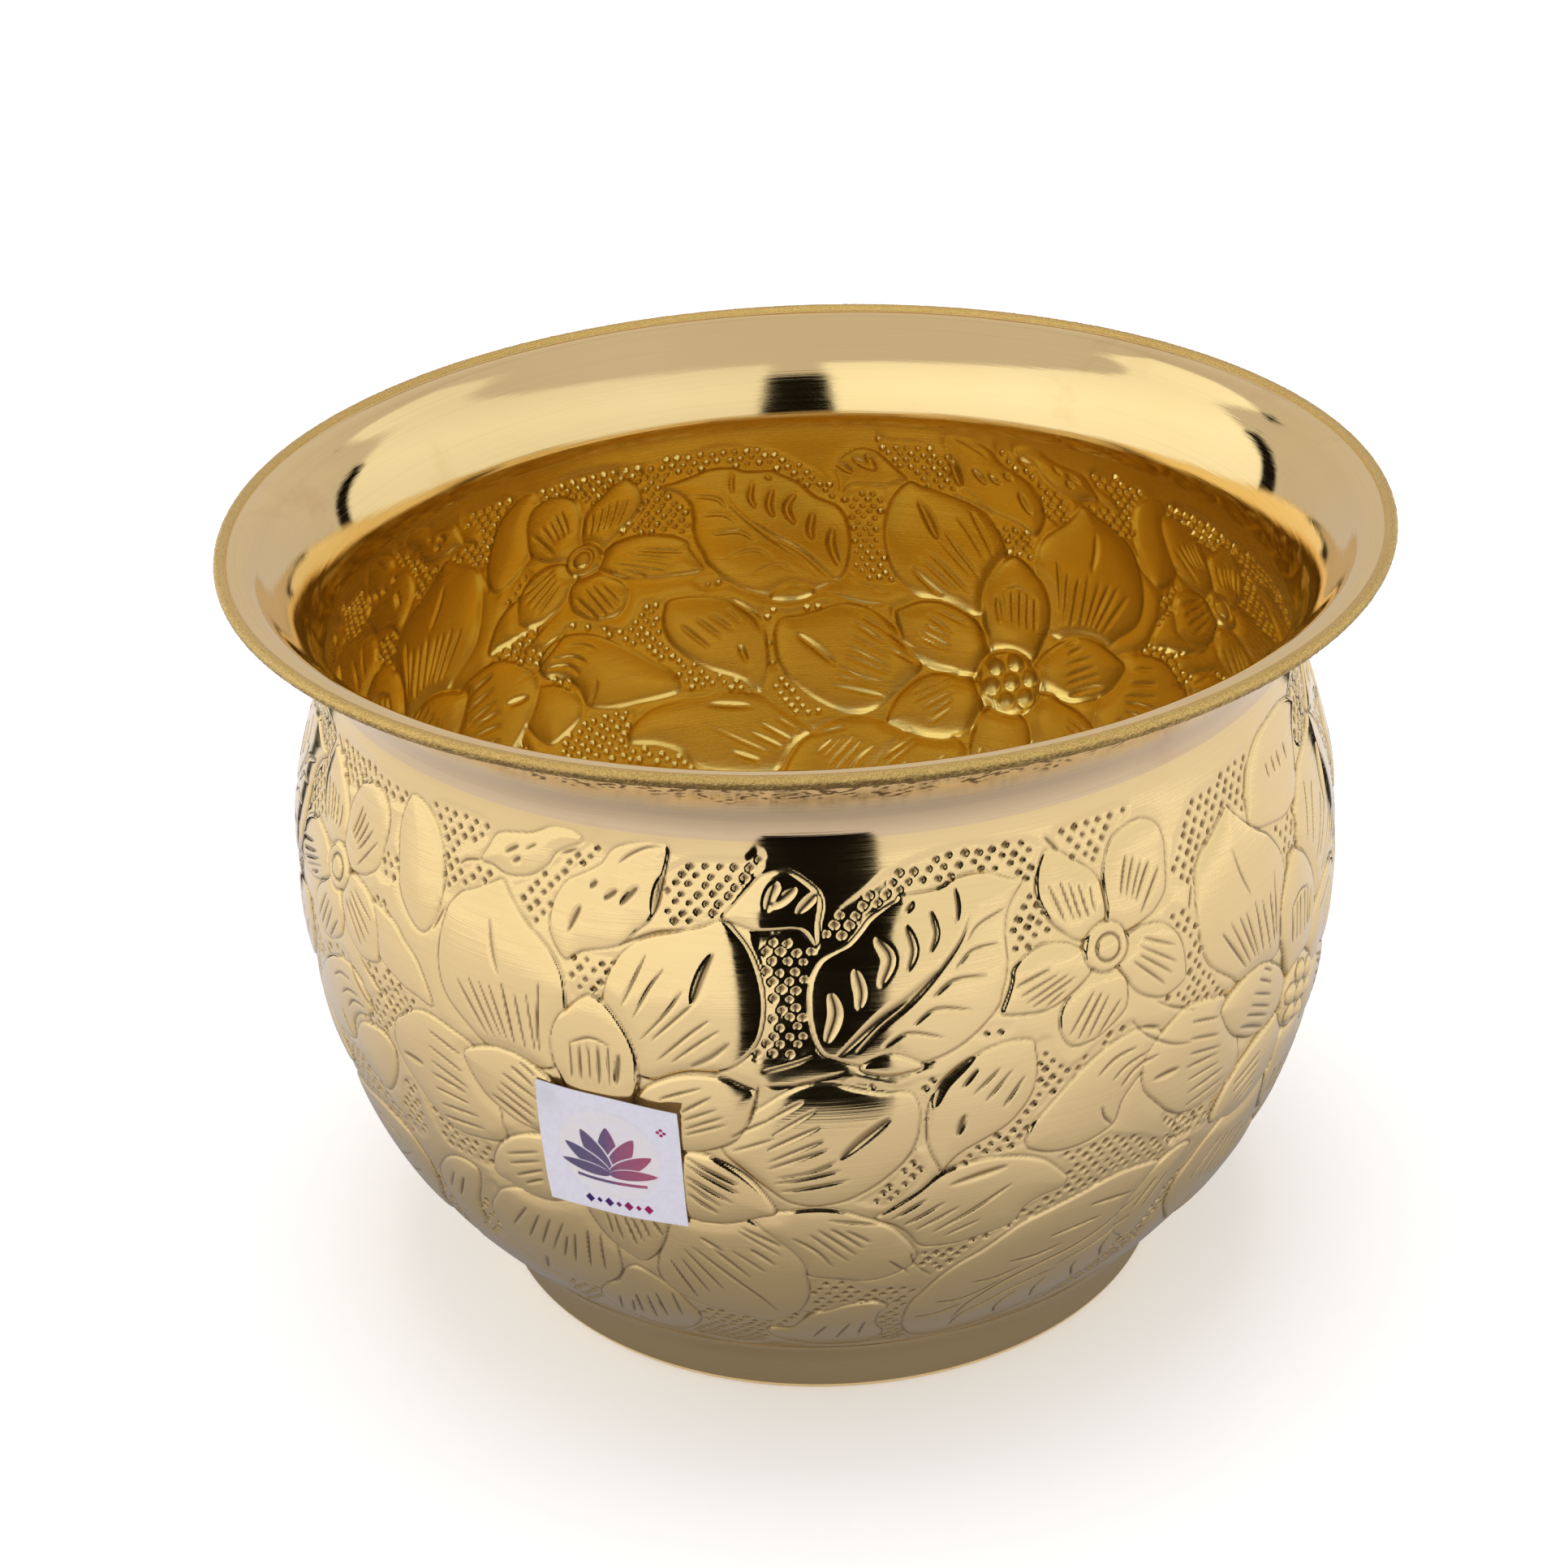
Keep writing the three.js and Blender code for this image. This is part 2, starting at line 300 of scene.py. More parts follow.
STIPPLES = {
    "s1": [(-46, 5.6), (-45, 4), (-43, 3.2), (-37.5, 3.2), (-36.8, 5.2), (-37.3, 7.5), (-39.2, 8.8), (-40, 10), (-40.5, 12.6), (-38.8, 11.3), (-36.5, 10.6), (-35, 11.2), (-34.6, 12.2), (-36, 14), (-38.5, 15.8), (-40, 17.6), (-41.5, 19), (-42.6, 17.8), (-43.6, 14.5), (-43, 11.5), (-43.6, 8.6)],
    "s2": [(-33, 13), (-31.3, 11.2), (-29.5, 9.3), (-28.3, 7.6), (-26.8, 5.6), (-25, 4.2), (-24.2, 2.6), (-23.6, 0.9), (-22.5, 1), (-22.3, 4.5), (-23.3, 6.5), (-25, 8), (-26.8, 9.6), (-28, 12), (-28.3, 16.5), (-29.3, 18.2), (-30.5, 19), (-32, 16.8)],
    "s3": [(-26.3, 23), (-25, 21.3), (-22.5, 20.6), (-20.3, 21), (-20.2, 24.5), (-21.8, 26), (-22.3, 28), (-23.3, 28.2), (-25, 29), (-26, 27.5)],
    "s4": [(-15.9, 6.3), (-14.5, 4.8), (-13, 3.8), (-11, 3.2), (-7.3, 3.2), (-6.2, 1.5), (-5.5, 2.8), (-6.3, 6.8), (-7.4, 8.3), (-8.8, 10), (-9.5, 11.6), (-10.5, 13.2), (-12, 14.6), (-15.6, 14.9), (-16.6, 13.3), (-16, 10)],
    "s5": [(-6.5, 15.3), (-3, 15.5), (-0.3, 17.7), (-0.8, 20.5), (-1.4, 23), (-1.6, 29), (-1.1, 33.8), (-3.5, 36.2), (-5.5, 36.5), (-7.2, 35.7), (-6, 31), (-5.6, 26), (-6, 21)],
    "s6": [(0.2, 17.5), (0.4, 14.5), (1.5, 12.2), (3, 10.5), (5, 8.6), (7, 6.5), (9.5, 5), (12, 4), (14.5, 3.3), (17, 3.4), (20, 4.3), (22.5, 4.8), (23.5, 6.5), (22.6, 10.3), (23.3, 15), (24.6, 19.8), (25, 21.5), (22.5, 22.2), (19.3, 23.3), (18.8, 21.5), (19, 18.5), (19.6, 15.5), (21.3, 11.2), (19, 9.4), (17.5, 8.5), (14, 8.6), (12, 9.9), (9, 9.8), (6, 12), (3.3, 16), (1.5, 17.3)],
    "s7": [(25.6, 4.3), (31, 3.5), (34.3, 3.6), (34.8, 5.5), (32, 9), (31, 10.6), (29.8, 11.6), (28.3, 11.5), (26.9, 10), (25.7, 7)],
    "s8": [(15, 34.5), (16.5, 33.2), (18.6, 34), (18.3, 35.5), (17, 36.3), (15.3, 35.8)],
    "s10": [(2, 41), (3, 39.8), (5, 41), (7, 42), (9, 41), (11, 41.2), (10.2, 44), (9.8, 47), (10.9, 49.5), (10, 52.5), (9.7, 54.5), (8.9, 54.5), (9.3, 51), (9.4, 47), (8.8, 44), (7.5, 42.9), (3.5, 42.2)],
    "s11": [(8.2, 55.5), (9.6, 58.5), (9.4, 60.5), (8.6, 63), (7, 65.5), (5.5, 66.5), (2.8, 64.8), (4.5, 62.8), (6.5, 60)],
    "s12": [(21, 38.5), (22.7, 38), (23.2, 41), (24.5, 44.5), (27, 42.5), (29.5, 40.3), (31.8, 39.8), (32.3, 41.6), (28, 44), (26.3, 46.2), (24.2, 47.8), (22.6, 50), (20.8, 53.2), (20.2, 58), (18, 58.2), (15.8, 59), (12.5, 60.3), (11.5, 60), (12.8, 57.4), (15.3, 55.3), (18, 53.3), (19.8, 50.5), (20.8, 47.5), (21.3, 44)],
    "s12b": [(24, 63), (25.5, 62), (28, 62), (30, 61), (32, 63), (34, 64.2), (37, 67.5), (40, 70), (39.7, 71.5), (38.8, 73.5), (36, 72.5), (33, 71.7), (30, 72), (27.5, 72.9), (25, 74), (20.5, 76), (16.8, 79), (13.2, 83.2), (10.8, 86), (9.8, 83.5), (8.8, 79), (13, 78.4), (18, 75.8), (19.8, 74.5), (20.5, 72.3), (24.8, 70), (25.4, 68.3)],
    "s13": [(-46.8, 61), (-45.5, 60.8), (-44, 63), (-41.5, 64), (-39, 63.3), (-37.5, 64.3), (-37.7, 67), (-38.3, 69.8), (-43, 69.3), (-44.8, 69), (-46, 66)],
    "s14": [(-39.2, 73), (-38.6, 74.5), (-40.8, 80), (-41, 88.5), (-42.5, 91), (-44, 93.5), (-44.5, 90), (-43.3, 82), (-41, 76)],
    "s15": [(-34.5, 98), (-32.5, 97), (-29.3, 98.5), (-31, 105), (-33, 108), (-36.5, 113), (-36, 102)],
    "s16": [(-16.5, 96.3), (-12, 97), (-8.5, 99.8), (-4.8, 95.5), (-2.5, 96.5), (-4, 99.5), (-6, 103.3), (-8.7, 105.2), (-8.4, 108), (-9.2, 113), (-13, 116.5), (-19, 114.5), (-20, 112.5), (-17, 105)],
    "s17": [(-2.5, 84.5), (2, 85.2), (4, 87.5), (9, 88.5), (9.9, 90.5), (8.7, 96), (8.3, 104), (9.4, 111), (9.5, 116), (5.5, 116.5), (6.3, 110), (5.2, 103), (5.1, 99), (6.3, 94.8), (3, 92.8), (0.5, 93.6), (-2.3, 96.2), (-3.7, 100.3), (-3, 91)],
    "s21": [(36, 38.3), (39.3, 37.5), (39.3, 31), (37.5, 26), (37.5, 24.3), (39, 23.8), (41.5, 28), (42.2, 35), (44, 41), (46, 44.5), (44, 45.7), (40, 43.5), (37.5, 41.2)],
    "s22": [(32.5, 94), (36, 88), (39.5, 82), (41.5, 86), (41, 96), (38, 104), (34, 110), (30, 113), (28, 110), (31, 104)],
    "s24": [(40.5, 60), (42.5, 57.5), (43.5, 62), (43, 69), (40.5, 72), (38.8, 69), (39.5, 64)],
}
# for the gaps that have room for more: the ground left of the big flower's unit
STIPPLES_GAP = [
    [(-65.5, 5), (-58, 3.8), (-50.2, 4.5), (-49.6, 8), (-55, 9), (-61, 12), (-64.5, 10)],
    [(-52, 15.3), (-49.3, 17.5), (-48.5, 19), (-51, 21.5), (-53, 21.3)],
    [(-50.5, 41), (-46.5, 38.7), (-45.5, 40), (-48, 44.8), (-51.5, 50), (-52, 54.5), (-55, 53), (-57.5, 51.5), (-55.2, 46)],
]
STIPPLES_TIGHT = [
    [(42.2, 10.5), (43.5, 8), (47.5, 7.5), (51, 6.3), (54.5, 5.5), (55, 7.5), (53.5, 12.5), (52.5, 16), (49.8, 14.5), (46, 17), (43.8, 21), (42.8, 22.3), (39.8, 20), (39, 18.5), (40.6, 13)],
    [(55, 21), (60, 22.5), (62, 20.8), (64, 21.3), (65.8, 25), (64, 31), (60.5, 30), (58.8, 31), (57.5, 25.5)],
]

LEAVES = {
    "l1": [(-37.5, 10.5), (-36.5, 7.5), (-35.5, 5.2), (-33, 4.2), (-31, 3.5), (-28.8, 1.8), (-26.5, 1.5), (-25, 3), (-27, 4.8), (-28.2, 6), (-29, 8), (-30.5, 10), (-32, 11), (-34.2, 11.5), (-36, 10.6)],
    "l2": [(-26.3, 22.9), (-28.2, 19), (-28.3, 15), (-27.5, 12), (-26.5, 9.8), (-24.5, 8), (-22.8, 6.2), (-21.5, 3.5), (-19, 2), (-15.5, 1.8), (-15.8, 6.5), (-16.9, 13.3), (-18.5, 16), (-20.5, 19), (-24.5, 20.9)],
    "l3": [(-9.7, 13), (-8.5, 10.6), (-7.2, 8.3), (-6, 6.3), (-4.5, 5.2), (-3, 5.2), (-1.5, 6.5), (0, 8.7), (0.3, 11), (0, 13.5), (-0.3, 17.5), (-1.5, 15.2), (-2.8, 14.5), (-6, 14.8), (-8, 14)],
    "v2": [(16.3, 81.3), (14, 83.5), (11.8, 87), (10, 91.5), (8.9, 95), (8.4, 100), (8.5, 105), (9.3, 110), (11, 114), (14, 116), (19, 115), (24, 112), (28, 108), (31.5, 103), (34.5, 97.5), (37, 91), (39.3, 85), (40, 79), (38.5, 74.3), (37, 73), (34, 72), (31, 72), (28, 73), (24.5, 74.3), (21, 76), (19, 78)],
    "m1": [(-8.7, 105), (-7.5, 103.7), (-5.5, 103.3), (-4, 99.8), (-2.3, 96.2), (-0.5, 95), (1.5, 93.3), (4.5, 92.7), (6.3, 94.8), (5.4, 97), (5, 100), (5.1, 103), (5.8, 106.5), (6.2, 109), (5, 115), (1, 116), (-3, 115.3), (-6.5, 112), (-8.3, 108.5)],
    "q1": [(11.5, 60), (15.5, 59), (18, 59.5), (20.5, 60.7), (22.5, 62.5), (24, 65), (25, 67), (25.4, 68), (25, 69.8), (22.5, 70.5), (20.7, 72), (20, 74.5), (18.8, 76), (16.5, 76.8), (13.5, 77.6), (11, 77.5), (9.2, 76.7), (8, 73.5), (6.5, 71), (4.5, 69), (6.5, 66.5), (9, 63.5)],
    "b1": [(10.2, 45), (9.8, 49), (9.8, 53), (10.2, 56), (11, 59), (11.3, 60), (13, 57), (15.5, 55), (18, 53), (19.8, 50), (20.8, 47), (21.2, 43), (21, 40), (20.5, 37.6), (17.5, 37), (14.5, 38.5), (11.5, 42)],
    "b2": [(24.8, 47.5), (26, 46), (28, 44), (30.5, 42.5), (33, 42.2), (35.5, 44), (36.8, 47), (36, 50), (34, 51), (32.5, 52.5), (31.2, 55), (30.8, 57), (30.3, 59.3), (28.3, 60.7), (26, 61.4), (23.5, 61.2), (21.5, 60), (20.2, 58.3), (20.5, 54.5), (22, 52), (23.5, 49.5)],
    "b3": [(31.6, 61.5), (31.2, 58), (32.2, 55), (33.8, 52.8), (36, 51.6), (38.5, 51), (40.3, 53), (40, 57.5), (38.5, 62), (36.5, 65), (34.5, 64.2)],
    "v1": [(-0.2, 35.2), (-1, 32.5), (-1.4, 29), (-1.4, 25), (-1, 22), (0, 19.5), (1.5, 18.2), (2.8, 17.2), (4, 15.3), (5, 13.5), (6.5, 12), (7.9, 10.8), (8.3, 10.2), (12, 9.8), (14, 8.5), (17, 8.3), (18.5, 9.3), (20.3, 10.6), (21.4, 11.1), (20.3, 13), (19.4, 15), (18.9, 17.5), (18.7, 20.5), (18.7, 23), (18.4, 26), (17.8, 28.5), (17.4, 30.5), (16, 32.8), (14.8, 34.5), (12.5, 36.8), (9, 38.5), (5, 38.6), (1, 36.2)],
}
LEAF_TIGHT = [(60, 5), (57, 6), (54.8, 8.5), (53.6, 11), (52.9, 14), (52.8, 19), (57.5, 21.2), (60.5, 21.8), (65.5, 20), (65.5, 17), (66.2, 14), (67.5, 10.5), (69.5, 7), (65, 4.6)]
LEAVES_GAP = [
    [(-53.7, 26.5), (-49.5, 27.2), (-47.5, 29.5), (-45, 32.5), (-43, 39), (-45.5, 38.6), (-48, 38), (-52.5, 35.3), (-53.8, 31)],
    [(-49, 5), (-50.3, 10.5), (-49.8, 16), (-49, 21), (-47, 24.8), (-44.6, 26.5), (-43, 23), (-42.4, 17), (-43.4, 10), (-46, 5.7)],
]
PETALS = {
    "p6": [(-48.2, 44), (-46.5, 42), (-44.5, 40.8), (-42.5, 41), (-40, 42), (-38.5, 43), (-36.5, 46), (-35.5, 52), (-35, 58), (-35.4, 61.8), (-39, 63), (-41.5, 63.6), (-44, 62.8), (-46, 60.5), (-48, 57), (-49.7, 53.5), (-50.2, 49.5), (-49.6, 46)],
    "p7": [(-48, 76.3), (-46, 73), (-43.5, 71), (-41, 71.5), (-41.3, 75.5), (-43.3, 82), (-44.5, 89), (-46.5, 91), (-49, 88.5), (-50, 84), (-49.5, 79.5)],
    "p9": [(-29.3, 97.5), (-30.3, 101.5), (-29.8, 106), (-27.8, 110.5), (-25.5, 113), (-22, 113.3), (-20, 110.5), (-18.5, 107.5), (-17, 103), (-16.7, 99), (-17.3, 95.8), (-18.5, 91), (-20.5, 87), (-22.3, 85), (-24, 87), (-25.5, 91.5), (-27.3, 93.8)],
    "p8": [(-35.8, 72.5), (-38, 74.5), (-39.5, 77.5), (-41, 81), (-41.3, 85), (-41, 88), (-40, 91), (-37, 97), (-35, 96.8), (-32, 96), (-29.5, 95), (-27, 93), (-25.2, 90), (-24.3, 86.5), (-24, 82), (-24, 76), (-25, 70), (-29, 69), (-32, 71)],
    "p4": [(-4.8, 66.6), (-2.5, 66), (0, 66.1), (2, 67.2), (4, 69), (6, 71), (7.5, 74), (8.6, 77), (9.1, 79.8), (8.2, 82.5), (5, 85), (2, 85), (-1, 84), (-2.8, 83), (-4.5, 80), (-7, 76), (-9, 71), (-8, 68)],
    "p5": [(-5.5, 73.5), (-4, 76.5), (-3, 80), (-2.8, 84), (-2.7, 88), (-3, 91), (-4, 95), (-5.5, 97), (-7.5, 99.5), (-9.5, 98.5), (-12, 96.3), (-15, 95), (-17.5, 92.5), (-19, 89.5), (-19.7, 86), (-18.8, 79), (-17, 71), (-13, 68), (-9, 68)],
    "p3": [(-6, 44.5), (-4, 42), (-2, 40.8), (0.5, 40.5), (3, 41.8), (5.5, 42.8), (7.2, 43), (8.3, 43.5), (9, 46), (9.1, 49), (8.9, 52), (8.4, 54.5), (7.5, 57), (6, 59.5), (4.3, 61.8), (2, 64), (0, 65), (-2, 65.3), (-4, 64.3), (-5.5, 62.5), (-9, 57), (-10.5, 53.5), (-9, 48.5)],
    "p1": [(-41.2, 19.5), (-39.8, 17), (-38, 15.6), (-36, 13.8), (-34.5, 12.6), (-33.4, 14.6), (-32, 17), (-30.6, 18.9), (-29.2, 20.5), (-27.8, 22.4), (-26.7, 25), (-26.2, 27.8), (-26.15, 31.5), (-26.6, 38), (-28, 43), (-33, 43.4), (-36, 42.3), (-37.5, 40.2), (-39.3, 38), (-40.8, 35.8), (-41.7, 33), (-42.1, 29.5), (-42.1, 25.5), (-41.8, 22.3)],
    "p2": [(-22.1, 29.8), (-22, 27), (-21.5, 23.5), (-20.8, 21.5), (-19.8, 19.5), (-18.3, 17.6), (-16.5, 16.3), (-14.5, 15.5), (-11.5, 14.2), (-9.7, 13), (-8, 15.5), (-6.9, 18), (-6, 22), (-5.6, 26), (-5.8, 30), (-6.5, 33.5), (-8, 36.5), (-10.3, 38.8), (-13, 39), (-15, 40), (-17.2, 41.5), (-19.5, 40), (-20.8, 34)],
}
INNER = {
    "i2": [(-39, 45.3), (-37.5, 43.5), (-35, 42), (-32.5, 41.8), (-30.5, 42.8), (-29, 44.2), (-26.5, 48), (-25.5, 52), (-27.5, 56.2), (-30.3, 56.6), (-32, 56.2), (-34, 55), (-36, 53), (-37.5, 50.5), (-38.6, 47.5)],
    "i3": [(-37.8, 70.2), (-37.6, 67), (-36.5, 63.5), (-34.8, 60.5), (-32.5, 58.3), (-30.4, 57.3), (-27, 56), (-24.5, 59), (-25.2, 66.5), (-28, 70), (-29, 71), (-31, 72.2), (-33.5, 72.3), (-36, 71.3)],
    "i5": [(-5.5, 66.8), (-6.5, 62.8), (-8, 59.5), (-10, 56.8), (-12, 55.3), (-14.3, 55), (-18, 56), (-19, 60), (-18, 66), (-14.5, 69.3), (-11.5, 69.8), (-9, 69), (-7, 67.8)],
    "i6": [(-6.7, 42.3), (-8, 41), (-10, 39.6), (-12.5, 39.3), (-15, 40.3), (-17, 42), (-18.4, 44), (-20, 49), (-19, 54), (-16, 55.4), (-14.3, 54.8), (-12.8, 54.5), (-10.8, 53.5), (-9, 51.5), (-7.8, 48.5), (-7, 45.5)],
    "i4": [(-21.1, 83.1), (-22.3, 82.2), (-23.8, 80), (-25, 77), (-25.8, 73.5), (-26.1, 70.5), (-25, 63), (-21.8, 60), (-18.5, 63), (-17.2, 70.3), (-17.4, 73.5), (-18.3, 77.5), (-19.3, 80.5)],
    "i1": [(-23.1, 27.8), (-24.5, 28.8), (-25.8, 30.8), (-27, 33), (-27.7, 36), (-27.8, 39), (-27.5, 42), (-26.8, 44.3), (-25.5, 50), (-22.7, 53), (-20, 50), (-18.7, 43.5), (-18.5, 40.5), (-18.6, 37.5), (-19.2, 34.5), (-20.2, 31.8), (-21.5, 29.3)],
}
SMALL = {
    "a": [(26.6, 23.2), (25, 21), (23.6, 18.5), (22.6, 14.5), (22.8, 11), (23.5, 8.5), (24.3, 7.2), (25.8, 8), (27.3, 10), (29, 12.2), (30, 14.5), (30.3, 17), (30.3, 20), (29.6, 24)],
    "b": [(30.3, 20), (30.3, 16), (30.6, 13), (31.5, 10), (33, 8), (36, 7.2), (38.2, 9), (38.9, 12), (38.7, 15), (38, 20), (36.5, 22.3), (35, 23.5), (32, 24.6), (29.8, 25)],
    "c": [(32.5, 24.8), (35, 24.5), (37, 25.5), (38.5, 28), (39.2, 31), (39.3, 35), (39, 37), (36.5, 38.2), (34.7, 37.3), (33, 35.5), (31.9, 33), (30.6, 28)],
    "d": [(31.4, 31.5), (31.7, 34), (31.4, 37), (30.5, 38.5), (29, 40), (27.5, 41), (25, 41), (23.8, 38), (23.7, 35), (24.4, 32.8), (26, 30.6), (29, 27.5)],
    "e": [(26.3, 24), (25, 22.8), (22.5, 22), (20.5, 23.2), (19.1, 25), (18.8, 27), (18, 30), (17.6, 32), (19.5, 32.8), (22, 33.2), (24, 32.5), (26.5, 30.3), (28.6, 27)],
}
